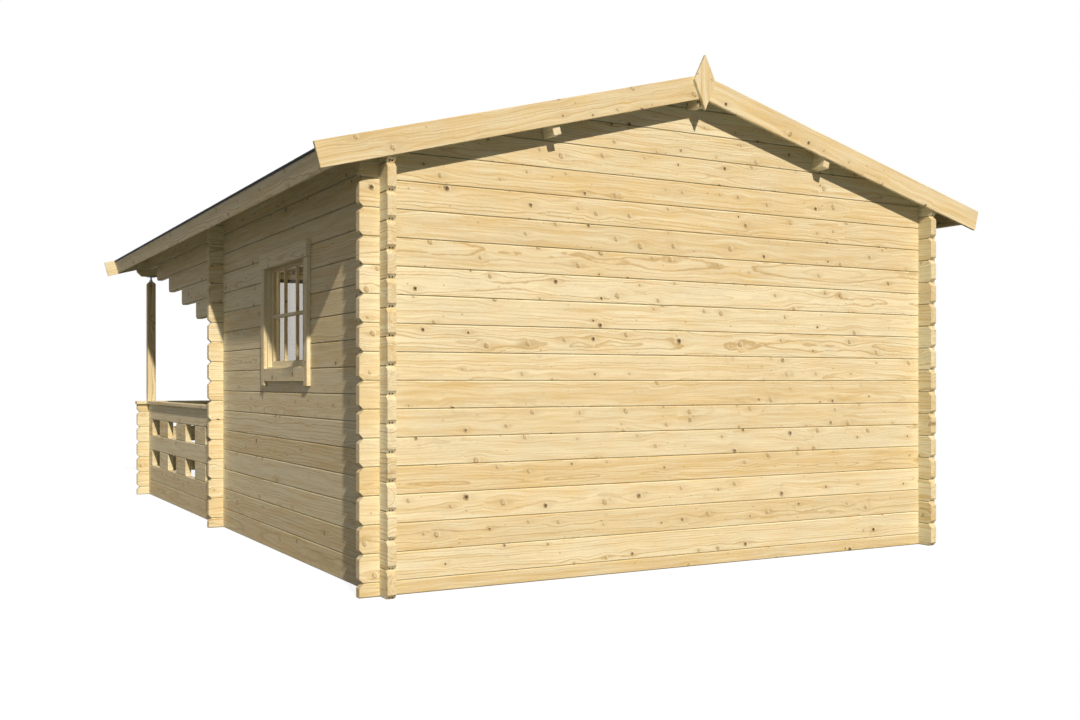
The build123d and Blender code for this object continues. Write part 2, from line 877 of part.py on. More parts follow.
# Floor: bearers on the ground, boarded floor in the room and on the porch
bearer_length = cabin_width - 2 * log_thickness - 2 * fit_gap
floor_width = cabin_width - 2 * log_thickness - 2 * floor_play
room_clear = room_depth - 2 * log_thickness
porch_clear = porch_depth - log_thickness
room_floor_y = front_y + room_depth / 2
porch_floor_y = front_y - porch_clear / 2
room_bearer_step = (room_clear - bearer_width - 2 * floor_play) / (room_bearers - 1)
porch_bearer_step = (porch_clear - bearer_width - 2 * floor_play) / (porch_bearers - 1)
with BuildPart() as floor_bearers:
    with BuildSketch():
        with Locations((0, room_floor_y)):
            with GridLocations(0, room_bearer_step, 1, room_bearers):
                Rectangle(bearer_length, bearer_width)
        with Locations((0, porch_floor_y)):
            with GridLocations(0, porch_bearer_step, 1, porch_bearers):
                Rectangle(bearer_length, bearer_width)
    extrude(amount=bearer_height)
save(floor_bearers, "floor_bearers")

with BuildPart() as room_floor:
    with BuildSketch(Plane.XY.offset(bearer_height)):
        with Locations((0, room_floor_y)):
            Rectangle(floor_width, room_clear - 2 * floor_play)
    extrude(amount=floor_thickness)
save(room_floor, "room_floor")

with BuildPart() as porch_floor:
    with BuildSketch(Plane.XY.offset(bearer_height)):
        with Locations((0, porch_floor_y)):
            Rectangle(floor_width, porch_clear - 2 * floor_play)
    extrude(amount=floor_thickness)
save(porch_floor, "porch_floor")
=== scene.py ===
import random
from math import atan2, cos, pi, radians, sin, tan

import bmesh
import bpy
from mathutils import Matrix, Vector


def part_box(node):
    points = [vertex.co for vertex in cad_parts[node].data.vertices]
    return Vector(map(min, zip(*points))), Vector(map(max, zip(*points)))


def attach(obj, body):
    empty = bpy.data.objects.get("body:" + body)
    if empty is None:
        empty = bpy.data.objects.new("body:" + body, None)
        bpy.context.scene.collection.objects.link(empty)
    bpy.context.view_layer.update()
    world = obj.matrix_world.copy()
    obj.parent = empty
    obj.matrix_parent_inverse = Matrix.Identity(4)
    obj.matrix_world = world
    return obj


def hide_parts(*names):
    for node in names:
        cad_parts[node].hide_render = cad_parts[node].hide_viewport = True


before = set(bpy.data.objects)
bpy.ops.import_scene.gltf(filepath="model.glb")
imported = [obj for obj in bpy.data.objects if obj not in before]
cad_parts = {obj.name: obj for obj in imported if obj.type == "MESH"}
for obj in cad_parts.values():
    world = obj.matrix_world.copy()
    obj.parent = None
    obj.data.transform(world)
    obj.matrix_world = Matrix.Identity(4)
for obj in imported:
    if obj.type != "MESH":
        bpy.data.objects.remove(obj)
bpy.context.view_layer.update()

# Wall logs
# Planed pine logs laid on edge, cross-lapped at the corners and left untreated. Every log is a board of
# its own, and the two grooves along its underside show as holes in its chamfered ends. Painted shade
# darkens the groove walls and the chamfers that face down at each seam, and a painted highlight lightens
# the chamfers that face up.
WELD = 1e-5
EARLY_WOOD = (1.000, 0.825, 0.515, 1)
STREAK_WOOD = (0.800, 0.550, 0.240, 1)
LATE_WOOD = (0.600, 0.370, 0.130, 1)
KNOT_CORE = (0.690, 0.470, 0.215, 1)
KNOT_HUSK = (0.430, 0.250, 0.095, 1)
KNOT_DEAD = (0.085, 0.052, 0.032, 1)
KNOT_RIM = (0.260, 0.140, 0.053, 1)
KNOT_HALO = (0.690, 0.470, 0.205, 1)
# Painted highlight colour on the lit side of knot rims
KNOT_HIGHLIGHT = (1.000, 0.860, 0.580, 1)
BOUNCE_WOOD = (0.820, 0.820, 0.690, 1)
GROOVE_WIDTH = 0.007
GROOVE_BASE = 0.004
GROOVE_TOP = 0.011
GROOVE_OFFSET = 0.0068
GROOVE_LENGTH = 0.070
# Colour factors for painted shade in grooves and under seams, and a painted highlight on the upper
# chamfers
GROOVE_SHADE = 0.15
JOINT_SHADE = 0.50
CREST_HIGHLIGHT = 1.05
CHAMFER_LEAST = 0.015
CHAMFER_MOST = 0.030
SQUARE_LEAST = 0.95
SEAM_SIDE_LEAST = 0.3
SEAM_TILT_LEAST = 0.5
LOG_KNOTS = 0.72
CLEAR_LOG_KNOTS = 0.42
WOOD_BUMP = 0.35
WOOD_RELIEF = 0.0006
WOOD_SPECULAR = 0.12
NUMBER_STEPS = (131.7, 73.3, 37.1)
NUMBER_START = 500.0
NUMBER_CYCLE = 311.0


def feed(tree, value, socket):
    """Link a socket to an input, or set the input to a plain value."""
    if isinstance(value, bpy.types.NodeSocket):
        tree.links.new(value, socket)
    else:
        socket.default_value = value


def calc(tree, operation, *values, clamp=False):
    """One math node on sockets or numbers."""
    node = tree.nodes.new("ShaderNodeMath")
    node.operation = operation
    node.use_clamp = clamp
    for value, socket in zip(values, node.inputs):
        feed(tree, value, socket)
    return node.outputs[0]


def ramp(tree, value, low, high, start=0.0, end=1.0):
    """Smooth step of a value between two limits."""
    node = tree.nodes.new("ShaderNodeMapRange")
    node.interpolation_type = "SMOOTHSTEP"
    feed(tree, value, node.inputs["Value"])
    feed(tree, low, node.inputs["From Min"])
    feed(tree, high, node.inputs["From Max"])
    feed(tree, start, node.inputs["To Min"])
    feed(tree, end, node.inputs["To Max"])
    return node.outputs["Result"]


def vector(tree, x, y, z):
    """Vector from three sockets or numbers."""
    node = tree.nodes.new("ShaderNodeCombineXYZ")
    for value, socket in zip((x, y, z), node.inputs):
        feed(tree, value, socket)
    return node.outputs[0]


def split(tree, value):
    """The three parts of a vector or colour."""
    node = tree.nodes.new("ShaderNodeSeparateXYZ")
    feed(tree, value, node.inputs[0])
    return node.outputs["X"], node.outputs["Y"], node.outputs["Z"]


def chance(tree, seed):
    """Three steady random values from one number."""
    node = tree.nodes.new("ShaderNodeTexWhiteNoise")
    node.noise_dimensions = "1D"
    feed(tree, seed, node.inputs["W"])
    return split(tree, node.outputs["Color"])


def cloud(tree, along, across, deep, scales, detail=2.0):
    """Soft noise around zero, with its own scale in each direction."""
    node = tree.nodes.new("ShaderNodeTexNoise")
    place = [calc(tree, "MULTIPLY", value, scale) for value, scale in zip((along, across, deep), scales)]
    feed(tree, vector(tree, *place), node.inputs["Vector"])
    node.inputs["Scale"].default_value = 1
    node.inputs["Detail"].default_value = detail
    return calc(tree, "SUBTRACT", node.outputs["Fac"], 0.5)


def mix(tree, share, first, second):
    """Blend of two colours."""
    node = tree.nodes.new("ShaderNodeMix")
    node.data_type = "RGBA"
    factor, color_a, color_b = (
        next(socket for socket in node.inputs if socket.identifier == name)
        for name in ("Factor_Float", "A_Color", "B_Color")
    )
    feed(tree, share, factor)
    feed(tree, first, color_a)
    feed(tree, second, color_b)
    return next(socket for socket in node.outputs if socket.identifier == "Result_Color")


def scattered(tree, along, across, cells_along, cells_across):
    """Offsets in metres to the nearest of some scattered points, with that point's random values."""
    cell_along = calc(tree, "MULTIPLY", along, cells_along)
    cell_across = calc(tree, "MULTIPLY", across, cells_across)
    place = vector(tree, cell_along, cell_across, 0)
    node = tree.nodes.new("ShaderNodeTexVoronoi")
    node.voronoi_dimensions = "2D"
    feed(tree, place, node.inputs["Vector"])
    node.inputs["Scale"].default_value = 1
    point_along, point_across, _ = split(tree, node.outputs["Position"])
    return (
        calc(tree, "DIVIDE", calc(tree, "SUBTRACT", cell_along, point_along), cells_along),
        calc(tree, "DIVIDE", calc(tree, "SUBTRACT", cell_across, point_across), cells_across),
        split(tree, node.outputs["Color"]),
    )


def reach(tree, x, y):
    """Distance from two offsets."""
    return calc(tree, "SQRT", calc(tree, "ADD", calc(tree, "POWER", x, 2), calc(tree, "POWER", y, 2)))


def bell(tree, x, y, width_x, width_y):
    """Bell-shaped bump of two offsets."""
    far = reach(tree, calc(tree, "DIVIDE", x, width_x), calc(tree, "DIVIDE", y, width_y))
    return calc(tree, "EXPONENT", calc(tree, "MULTIPLY", calc(tree, "POWER", far, 2), -1))


# Figure of the pine, with sizes in metres and scales in waves to the metre
BOARD_SEEDS = (0.37, 7.91)
BOARD_SHIFT_ALONG = 40
BOARD_SHIFT_ACROSS = 10
KNOT_CELLS = (5.0, 7.4)
KNOT_RADIUS = 0.0060
KNOT_GROWTH = 0.0100
KNOT_SIZE_POWER = 1.5
RAGGED_SCALE = (130, 130, 130)
RAGGED_STRENGTH = 1.1
CORE_FADE = (0.70, 1.00)
CORE_STRENGTH = 0.75
RIM_RISE = (0.45, 0.85)
RIM_FADE = (0.95, 1.35)
RIM_STRENGTH = 0.70
LEAN_ALONG = 0.8
LEAN_ACROSS = -0.6
# Ramp of painted shade across a knot, from its lit side to its shaded side
SHADED_SIDE = (-0.8, 0.6)
DEAD_KIND = (0.60, 0.66)
HEART_FADE = (0.40, 0.70)
SWELL_ALONG = (6.0, 0.010)
SWELL_ACROSS = (3.0, 0.004)
SWELL_PUSH = 0.85
HALO_ALONG = (3.5, 0.004)
HALO_ACROSS = (1.6, 0.002)
HALO_STRENGTH = 0.45
# Strength of the painted highlight on knot rims
HIGHLIGHT_STRENGTH = 0.8
WANDER_SCALE = (0.9, 5, 1)
WANDER_PLACE = 0.3
WANDER_DEEP_SCALE = (1.3, 5, 1)
WANDER_DEEP_PLACE = 7.3
PITH_RANGE_ACROSS = 0.16
PITH_RANGE_DEEP = 0.06
PITH_WANDER_ACROSS = 0.06
PITH_WANDER_DEEP = 0.10
WAVE_SCALE = (8, 22, 22)
RING_WAVE = 0.018
GRAIN_WAVE = 0.012
RING_WIDTH = 0.010
RING_WIDENING = 0.009
RING_SEED_STEP = 13.7
RING_WEIGHT_POWER = 2
FAINTEST_RING = 0.15
LATE_RISE = (0.52, 0.86)
LATE_FADE = (0.90, 1.0)
LATE_STRENGTH = 0.85
STREAK_SCALE = (1.8, 42, 42)
THREAD_SCALE = (4, 170, 170)
FIBRE_SCALE = (45, 420, 420)
BLOTCH_SCALE = (5, 10, 10)
GOLD_LEAST = 0.07
GOLD_SPREAD = 0.64
STREAK_GOLD = 2.0
THREAD_GOLD = 1.15
BLOTCH_GOLD = 1.0
TONE_LEAST = 0.975
TONE_SPREAD = 0.06
BLOTCH_TONE = 0.30
FIBRE_TONE = 0.24
PIN_CELLS = (6.0, 12.0)
PIN_SHIFT = 3.3
PIN_RADIUS = 0.0016
PIN_GROWTH = 0.0020
PIN_STRETCH = 1.5
PIN_SHARE = 0.45
PIN_STRENGTH = 0.75
WOOD_ROUGHNESS = 0.68
LATE_ROUGHNESS = -0.10
CORE_ROUGHNESS = -0.12
LATE_HEIGHT = 0.35
FIBRE_HEIGHT = 0.5
CORE_HEIGHT = 0.4


def pine_figure_group():
    """Solid pine: growth rings round a wandering pith, knots that part the grain, streaks and tone."""
    group = bpy.data.node_groups.new("pine_figure", "ShaderNodeTree")
    group.interface.new_socket("Grain", in_out="INPUT", socket_type="NodeSocketVector")
    group.interface.new_socket("Board", in_out="INPUT", socket_type="NodeSocketFloat")
    group.interface.new_socket("Knots", in_out="INPUT", socket_type="NodeSocketFloat")
    group.interface.new_socket("Color", in_out="OUTPUT", socket_type="NodeSocketColor")
    group.interface.new_socket("Roughness", in_out="OUTPUT", socket_type="NodeSocketFloat")
    group.interface.new_socket("Height", in_out="OUTPUT", socket_type="NodeSocketFloat")
    given = group.nodes.new("NodeGroupInput")
    result = group.nodes.new("NodeGroupOutput")
    board = given.outputs["Board"]
    knots = given.outputs["Knots"]
    along, across, deep = split(group, given.outputs["Grain"])
    pick_a, pick_b, pick_c = chance(group, calc(group, "ADD", board, BOARD_SEEDS[0]))
    pick_d, pick_e, pick_f = chance(group, calc(group, "ADD", board, BOARD_SEEDS[1]))
    far_along = calc(group, "MULTIPLY_ADD", pick_a, BOARD_SHIFT_ALONG, along)
    far_across = calc(group, "MULTIPLY_ADD", pick_b, BOARD_SHIFT_ACROSS, across)

    # Knots: cut branches with a dark rim, some of them dead. Painted shade darkens the rim on one side
    # and a painted highlight lightens the other side.
    knot_along, knot_across, (size, there, kind) = scattered(group, far_along, far_across, *KNOT_CELLS)
    knot_there = calc(group, "LESS_THAN", there, knots)
    knot_size = calc(group, "POWER", size, KNOT_SIZE_POWER)
    knot_radius = calc(group, "MULTIPLY_ADD", knot_size, KNOT_GROWTH, KNOT_RADIUS)
    ragged = cloud(group, far_along, far_across, deep, RAGGED_SCALE)
    knot_far = calc(group, "DIVIDE", reach(group, knot_along, knot_across), knot_radius)
    raggedness = calc(group, "MULTIPLY_ADD", ragged, RAGGED_STRENGTH, 1.0)
    knot_far = calc(group, "MULTIPLY", knot_far, raggedness)
    core = calc(group, "MULTIPLY", knot_there, ramp(group, knot_far, *CORE_FADE, 1.0, 0.0))
    rim_in = ramp(group, knot_far, *RIM_RISE)
    rim = calc(group, "MULTIPLY", rim_in, ramp(group, knot_far, *RIM_FADE, 1.0, 0.0))
    rim = calc(group, "MULTIPLY", knot_there, rim)
    lean = calc(group, "MULTIPLY", knot_along, LEAN_ALONG)
    lean = calc(group, "MULTIPLY_ADD", knot_across, LEAN_ACROSS, lean)
    shaded_side = ramp(group, calc(group, "DIVIDE", lean, knot_radius), *SHADED_SIDE)
    dead = ramp(group, kind, *DEAD_KIND)
    heart = calc(group, "MULTIPLY", knot_there, ramp(group, knot_far, *HEART_FADE, 1.0, 0.0))
    heart = calc(group, "MULTIPLY", heart, dead)
    swell = bell(
        group,
        knot_along,
        knot_across,
        calc(group, "MULTIPLY_ADD", knot_radius, *SWELL_ALONG),
        calc(group, "MULTIPLY_ADD", knot_radius, *SWELL_ACROSS),
    )
    swell = calc(group, "MULTIPLY", swell, knot_there)

    # Growth rings round a pith that wanders along the log, pushed apart by the knots
    push = calc(group, "MULTIPLY", calc(group, "MULTIPLY", knot_across, SWELL_PUSH), swell)
    wander = cloud(group, far_along, pick_c, WANDER_PLACE, WANDER_SCALE, 1)
    wander_deep = cloud(group, far_along, pick_d, WANDER_DEEP_PLACE, WANDER_DEEP_SCALE, 1)
    pith_across = calc(group, "MULTIPLY", calc(group, "SUBTRACT", pick_e, 0.5), PITH_RANGE_ACROSS)
    pith_across = calc(group, "MULTIPLY_ADD", wander, PITH_WANDER_ACROSS, pith_across)
    pith_deep = calc(group, "MULTIPLY", calc(group, "SUBTRACT", pick_f, 0.5), PITH_RANGE_DEEP)
    pith_deep = calc(group, "MULTIPLY_ADD", wander_deep, PITH_WANDER_DEEP, pith_deep)
    ring_across = calc(group, "SUBTRACT", calc(group, "SUBTRACT", across, push), pith_across)
    ring_reach = reach(group, ring_across, calc(group, "SUBTRACT", deep, pith_deep))
    wavy = cloud(group, far_along, far_across, deep, WAVE_SCALE, 3)
    ring_reach = calc(group, "MULTIPLY_ADD", wavy, RING_WAVE, ring_reach)
    ring_width = calc(group, "MULTIPLY_ADD", pick_b, RING_WIDENING, RING_WIDTH)
    ring_count = calc(group, "DIVIDE", ring_reach, ring_width)
    ring_share = calc(group, "FRACT", ring_count)
    ring_seed = calc(group, "MULTIPLY_ADD", board, RING_SEED_STEP, calc(group, "FLOOR", ring_count))
    ring_weight, _, _ = chance(group, ring_seed)
    late_rise = ramp(group, ring_share, *LATE_RISE)
    late = calc(group, "MULTIPLY", late_rise, ramp(group, ring_share, *LATE_FADE, 1.0, 0.0))
    ring_weight = calc(group, "POWER", ring_weight, RING_WEIGHT_POWER)
    ring_weight = calc(group, "MULTIPLY_ADD", ring_weight, 1 - FAINTEST_RING, FAINTEST_RING)
    late = calc(group, "MULTIPLY", late, ring_weight)

    # Golden streaks and threads along the grain, soft blotches and the tone of the single board
    bent_across = calc(group, "SUBTRACT", far_across, push)
    bent_across = calc(group, "MULTIPLY_ADD", wavy, GRAIN_WAVE, bent_across)
    streak = cloud(group, far_along, bent_across, deep, STREAK_SCALE, 3)
    thread = cloud(group, far_along, bent_across, deep, THREAD_SCALE, 2)
    fibre = cloud(group, far_along, far_across, deep, FIBRE_SCALE)
    blotch = cloud(group, far_along, far_across, deep, BLOTCH_SCALE, 3)
    gold = calc(group, "MULTIPLY_ADD", pick_c, GOLD_SPREAD, GOLD_LEAST)
    gold = calc(group, "MULTIPLY_ADD", streak, STREAK_GOLD, gold)
    gold = calc(group, "MULTIPLY_ADD", thread, THREAD_GOLD, gold)
    gold = calc(group, "MULTIPLY_ADD", blotch, BLOTCH_GOLD, gold, clamp=True)
    tone = calc(group, "MULTIPLY_ADD", pick_d, TONE_SPREAD, TONE_LEAST)
    tone = calc(group, "MULTIPLY_ADD", blotch, BLOTCH_TONE, tone)
    tone = calc(group, "MULTIPLY_ADD", fibre, FIBRE_TONE, tone)
    wood = mix(group, gold, EARLY_WOOD, STREAK_WOOD)
    wood = mix(group, calc(group, "MULTIPLY", late, LATE_STRENGTH), wood, LATE_WOOD)
    toned = group.nodes.new("ShaderNodeVectorMath")
    toned.operation = "SCALE"
    feed(group, wood, toned.inputs[0])
    feed(group, tone, toned.inputs["Scale"])
    halo = bell(
        group,
        knot_along,
        knot_across,
        calc(group, "MULTIPLY_ADD", knot_radius, *HALO_ALONG),
        calc(group, "MULTIPLY_ADD", knot_radius, *HALO_ACROSS),
    )
    halo = calc(group, "MULTIPLY", calc(group, "MULTIPLY", halo, knot_there), HALO_STRENGTH)
    wood = mix(group, halo, toned.outputs[0], KNOT_HALO)
    # Painted highlight on the lit side of the knot rim
    lit_side = calc(group, "MULTIPLY_ADD", shaded_side, -HIGHLIGHT_STRENGTH, HIGHLIGHT_STRENGTH)
    wood = mix(group, calc(group, "MULTIPLY", rim, lit_side), wood, KNOT_HIGHLIGHT)
    core_color = mix(group, dead, KNOT_CORE, KNOT_HUSK)
    wood = mix(group, calc(group, "MULTIPLY", core, CORE_STRENGTH), wood, core_color)
    wood = mix(group, heart, wood, KNOT_DEAD)
    # The rim's dark colour shows only on the shaded side, as painted shade
    rim_and_painted_shade = calc(group, "MULTIPLY", rim, calc(group, "MULTIPLY", shaded_side, RIM_STRENGTH))
    wood = mix(group, rim_and_painted_shade, wood, KNOT_RIM)

    # Pin knots: the ends of twigs, a few millimetres across
    shifted = calc(group, "ADD", far_along, PIN_SHIFT)
    pin_along, pin_across, (pin_size, pin_there, _) = scattered(group, shifted, far_across, *PIN_CELLS)
    pin_radius = calc(group, "MULTIPLY_ADD", pin_size, PIN_GROWTH, PIN_RADIUS)
    pin_length = calc(group, "MULTIPLY", pin_radius, PIN_STRETCH)
    pin = bell(group, pin_along, pin_across, pin_length, pin_radius)
    pin_shown = calc(group, "LESS_THAN", pin_there, calc(group, "MULTIPLY", knots, PIN_SHARE))
    pin = calc(group, "MULTIPLY", pin, pin_shown)
    wood = mix(group, calc(group, "MULTIPLY", pin, PIN_STRENGTH), wood, KNOT_RIM)

    rough = calc(group, "MULTIPLY_ADD", late, LATE_ROUGHNESS, WOOD_ROUGHNESS)
    rough = calc(group, "MULTIPLY_ADD", core, CORE_ROUGHNESS, rough)
    height = calc(group, "MULTIPLY", fibre, FIBRE_HEIGHT)
    height = calc(group, "MULTIPLY_ADD", late, LATE_HEIGHT, height)
    height = calc(group, "MULTIPLY_ADD", core, CORE_HEIGHT, height)
    group.links.new(wood, result.inputs["Color"])
    group.links.new(rough, result.inputs["Roughness"])
    group.links.new(height, result.inputs["Height"])
    return group


pine_figure = pine_figure_group()


def attribute(tree, name):
    """A value written on the mesh."""
    node = tree.nodes.new("ShaderNodeAttribute")
    node.attribute_name = name
    return node


def pine_material(name, knots, painted_face_shade=False):
    """Planed pine whose grain and board number are written on the mesh, with painted shade and highlight
    from its faces if asked.
    """
    material = bpy.data.materials.new(name)
    material.use_nodes = True
    tree = material.node_tree
    surface = tree.nodes["Principled BSDF"]
    figure = tree.nodes.new("ShaderNodeGroup")
    figure.node_tree = pine_figure
    tree.links.new(attribute(tree, "grain").outputs["Vector"], figure.inputs["Grain"])
    tree.links.new(attribute(tree, "board").outputs["Fac"], figure.inputs["Board"])
    figure.inputs["Knots"].default_value = knots
    color = figure.outputs["Color"]
    # The face factor 'shade' paints shade into grooves and under seams and a highlight on the upper
    # chamfers
    if painted_face_shade:
        shaded = tree.nodes.new("ShaderNodeVectorMath")
        shaded.operation = "SCALE"
        tree.links.new(color, shaded.inputs[0])
        tree.links.new(attribute(tree, "shade").outputs["Fac"], shaded.inputs["Scale"])
        color = shaded.outputs[0]
    bounced = tree.nodes.new("ShaderNodeLightPath").outputs["Is Diffuse Ray"]
    color = mix(tree, bounced, color, BOUNCE_WOOD)
    bump = tree.nodes.new("ShaderNodeBump")
    bump.inputs["Strength"].default_value = WOOD_BUMP
    bump.inputs["Distance"].default_value = WOOD_RELIEF
    tree.links.new(figure.outputs["Height"], bump.inputs["Height"])
    tree.links.new(color, surface.inputs["Base Color"])
    tree.links.new(figure.outputs["Roughness"], surface.inputs["Roughness"])
    tree.links.new(bump.outputs["Normal"], surface.inputs["Normal"])
    surface.inputs["Specular IOR Level"].default_value = WOOD_SPECULAR
    return material


def welded(mesh):
    """Closed solids from a mesh whose faces were written apart."""
    shape = bmesh.new()
    shape.from_mesh(mesh)
    bmesh.ops.remove_doubles(shape, verts=shape.verts, dist=WELD)
    return shape


def separate_solids(shape):
    """Lists of joined points, one for each solid."""
    shape.verts.index_update()
    seen = set()
    solids = []
    for first in shape.verts:
        if first.index in seen:
            continue
        seen.add(first.index)
        solid = [first]
        for vert in solid:
            for edge in vert.link_edges:
                other = edge.other_vert(vert)
                if other.index not in seen:
                    seen.add(other.index)
                    solid.append(other)
        solids.append(solid)
    return solids


def corners(solid):
    """Lowest and highest corner of some points."""
    low = Vector([min(vert.co[axis] for vert in solid) for axis in range(3)])
    high = Vector([max(vert.co[axis] for vert in solid) for axis in range(3)])
    return low, high


def axes_by_size(size):
    """Directions of a board's length, width and thickness."""
    order = sorted(range(3), key=lambda axis: -size[axis])
    return [Vector([1.0 if axis == chosen else 0.0 for axis in range(3)]) for chosen in order]


def board_number(centre):
    """Steady number for a board from its place in the cabin."""
    step_x, step_y, step_z = NUMBER_STEPS
    return (centre.x * step_x + centre.y * step_y + centre.z * step_z + NUMBER_START) % NUMBER_CYCLE


def mark_grain(shape, directions=None):
    """Write each board's grain and number on its points, along its longest side unless told."""
    grain = shape.verts.layers.float_vector.new("grain")
    number = shape.verts.layers.float.new("board")
    for solid in separate_solids(shape):
        low, high = corners(solid)
        centre = (low + high) / 2
        along, across, deep = directions(centre) if directions else axes_by_size(high - low)
        for vert in solid:
            place = vert.co - centre
            vert[grain] = (place.dot(along), place.dot(across), place.dot(deep))
            vert[number] = board_number(centre)


def fix(shape, name, material, slot, *nodes):
    """Put a finished shape on the cabin, in place of its plain CAD nodes."""
    mesh = bpy.data.meshes.new(name)
    shape.to_mesh(mesh)
    shape.free()
    mesh.materials.append(material)
    piece = bpy.data.objects.new(name, mesh)
    bpy.context.collection.objects.link(piece)
    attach(piece, "root")
    if nodes:
        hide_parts(*nodes)


def add_block(shape, low, high):
    """Plain block between two corners."""
    made = bmesh.ops.create_cube(shape, size=1)
    for vert in made["verts"]:
        vert.co = Vector([low[axis] if vert.co[axis] < 0 else high[axis] for axis in range(3)])


def groove_boxes(shape):
    """Corners of the grooves at every log end with a chamfer below it."""
    boxes = []
    for solid in separate_solids(shape):
        low, high = corners(solid)
        size = high - low
        run, deep = (0, 1) if size.x > size.y else (1, 0)
        for end, inward in ((low[run], 1), (high[run], -1)):
            end_base = min(vert.co.z for vert in solid if abs(vert.co[run] - end) < WELD)
            if not CHAMFER_LEAST < end_base - low.z < CHAMFER_MOST:
                continue
            for side in (-1, 1):
                middle = (low[deep] + high[deep]) / 2 + side * GROOVE_OFFSET
                first, last = low.copy(), high.copy()
                first[run] = min(end - inward * GROOVE_WIDTH, end + inward * GROOVE_LENGTH)
                last[run] = max(end - inward * GROOVE_WIDTH, end + inward * GROOVE_LENGTH)
                first[deep] = middle - GROOVE_WIDTH / 2
                last[deep] = middle + GROOVE_WIDTH / 2
                first.z = low.z + GROOVE_BASE
                last.z = low.z + GROOVE_TOP
                boxes.append((first, last))
    return boxes


def grooved(shape, boxes):
    """The same logs with the grooves cut into their ends."""
    blocks = bmesh.new()
    for first, last in boxes:
        add_block(blocks, first, last)
    pieces = []
    for part in (shape, blocks):
        mesh = bpy.data.meshes.new("groove_work")
        part.to_mesh(mesh)
        part.free()
        piece = bpy.data.objects.new("groove_work", mesh)
        bpy.context.collection.objects.link(piece)
        pieces.append(piece)
    logs, cutter = pieces
    cut = logs.modifiers.new("grooves", "BOOLEAN")
    cut.operation = "DIFFERENCE"
    cut.solver = "EXACT"
    cut.object = cutter
    shaped = logs.evaluated_get(bpy.context.evaluated_depsgraph_get())
    mesh = bpy.data.meshes.new_from_object(shaped)
    result = welded(mesh)
    for piece in pieces:
        plain = piece.data
        bpy.data.objects.remove(piece)
        bpy.data.meshes.remove(plain)
    bpy.data.meshes.remove(mesh)
    return result


def inside(point, boxes):
    """Whether a point lies in or on one of some boxes."""
    return any(
        all(first[axis] - WELD < point[axis] < last[axis] + WELD for axis in range(3))
        for first, last in boxes
    )


def mark_shades(shape, boxes):
    """Painted shade in the grooves and on the undersides that look into a joint, and a painted highlight
    on the top edges.
    """
    shade = shape.faces.layers.float.new("shade")
    shape.normal_update()
    for solid in separate_solids(shape):
        low, high = corners(solid)
        size = high - low
        deep = 1 if size.x > size.y else 0
        near = [
            (first, last)
            for first, last in boxes
            if low.z < first.z < high.z and low[deep] < first[deep] < high[deep]
        ]
        for vert in solid:
            for face in vert.link_faces:
                tilt = face.normal.z
                square = max(abs(part) for part in face.normal) > SQUARE_LEAST
                face[shade] = 1.0
                # Painted shade on groove walls and down-facing seam chamfers, painted highlight on
                # up-facing ones
                if square and inside(face.calc_center_median(), near):
                    face[shade] = GROOVE_SHADE
                elif abs(face.normal[deep]) > SEAM_SIDE_LEAST and abs(tilt) > SEAM_TILT_LEAST:
                    face[shade] = CREST_HIGHLIGHT if tilt > 0 else JOINT_SHADE


log_pine = pine_material("untreated_log_pine", LOG_KNOTS, painted_face_shade=True)
clear_pine = pine_material("clear_log_pine", CLEAR_LOG_KNOTS, painted_face_shade=True)
for node in (
    "back_wall",
    "front_wall",
    "right_wall",
    "left_wall",
    "porch_gable",
    "porch_front_rails",
    "porch_front_blocks",
    "porch_side_blocks",
):
    plain_logs = welded(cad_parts[node].data)
    boxes = groove_boxes(plain_logs)
    logs = grooved(plain_logs, boxes)
    mark_grain(logs)
    mark_shades(logs, boxes)
    grade = clear_pine if node in ("right_wall", "left_wall") else log_pine
    fix(logs, f"{node}_logs", grade, "log_pine", node)

# Floor bearers and floors
# Sawn pine bearers lie on the ground between the walls. Planed boards, tongued together and with
# their top edges taken off, are nailed across them in the room and on the porch.
BEARER_EDGE = 0.003
FLOOR_BOARDS = 36
FLOOR_BOARD_GAP = 0.0006
FLOOR_BOARD_EDGE = 0.003
FLOOR_KNOTS = 0.6
FLAT_ANGLE = radians(1)
EASING_SEGMENTS = 2


def eased(shape, radius):
    """Planed boards with their edges slightly rounded."""
    bmesh.ops.dissolve_limit(shape, angle_limit=FLAT_ANGLE, verts=shape.verts, edges=shape.edges)
    bmesh.ops.bevel(
        shape,
        geom=shape.edges[:],
        offset=radius,
        offset_type="OFFSET",
        segments=EASING_SEGMENTS,
        profile=0.5,
        affect="EDGES",
        clamp_overlap=True,
    )
    return shape


def planed(node, radius, directions=None):
    """Boards of one CAD node, with eased edges and their own grain."""
    shape = eased(welded(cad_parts[node].data), radius)
    mark_grain(shape, directions)
    return shape


def new_boards():
    """Empty shape whose points carry grain and board number."""
    shape = bmesh.new()
    shape.verts.layers.float_vector.new("grain")
    shape.verts.layers.float.new("board")
    return shape


def add_board(shape, profile, start, end, across, up, lean=0.0):
    """Board from start to end, with its profile across and up, and its first end leaning if wanted."""
    grain = shape.verts.layers.float_vector["grain"]
    number = shape.verts.layers.float["board"]
    along = (end - start).normalized()
    rings = []
    for origin, slant in ((start, lean), (end, 0.0)):
        ring = []
        for aside, above in profile:
            vert = shape.verts.new(origin + across * aside + up * above + along * (slant * above))
            vert[grain] = ((vert.co - start).dot(along), aside, above)
            vert[number] = board_number((start + end) / 2)
            ring.append(vert)
        rings.append(ring)
    first, last = rings
    faces = [shape.faces.new(first), shape.faces.new(last)]
    for place in range(len(profile)):
        faces.append(shape.faces.new((first[place - 1], first[place], last[place], last[place - 1])))
    bmesh.ops.recalc_face_normals(shape, faces=faces)


def edged_profile(width, thickness, edge):
    """Board section with its two upper edges taken off."""
    half = width / 2
    return [
        (-half, 0),
        (half, 0),
        (half, thickness - edge),
        (half - edge, thickness),
        (edge - half, thickness),
        (-half, thickness - edge),
    ]


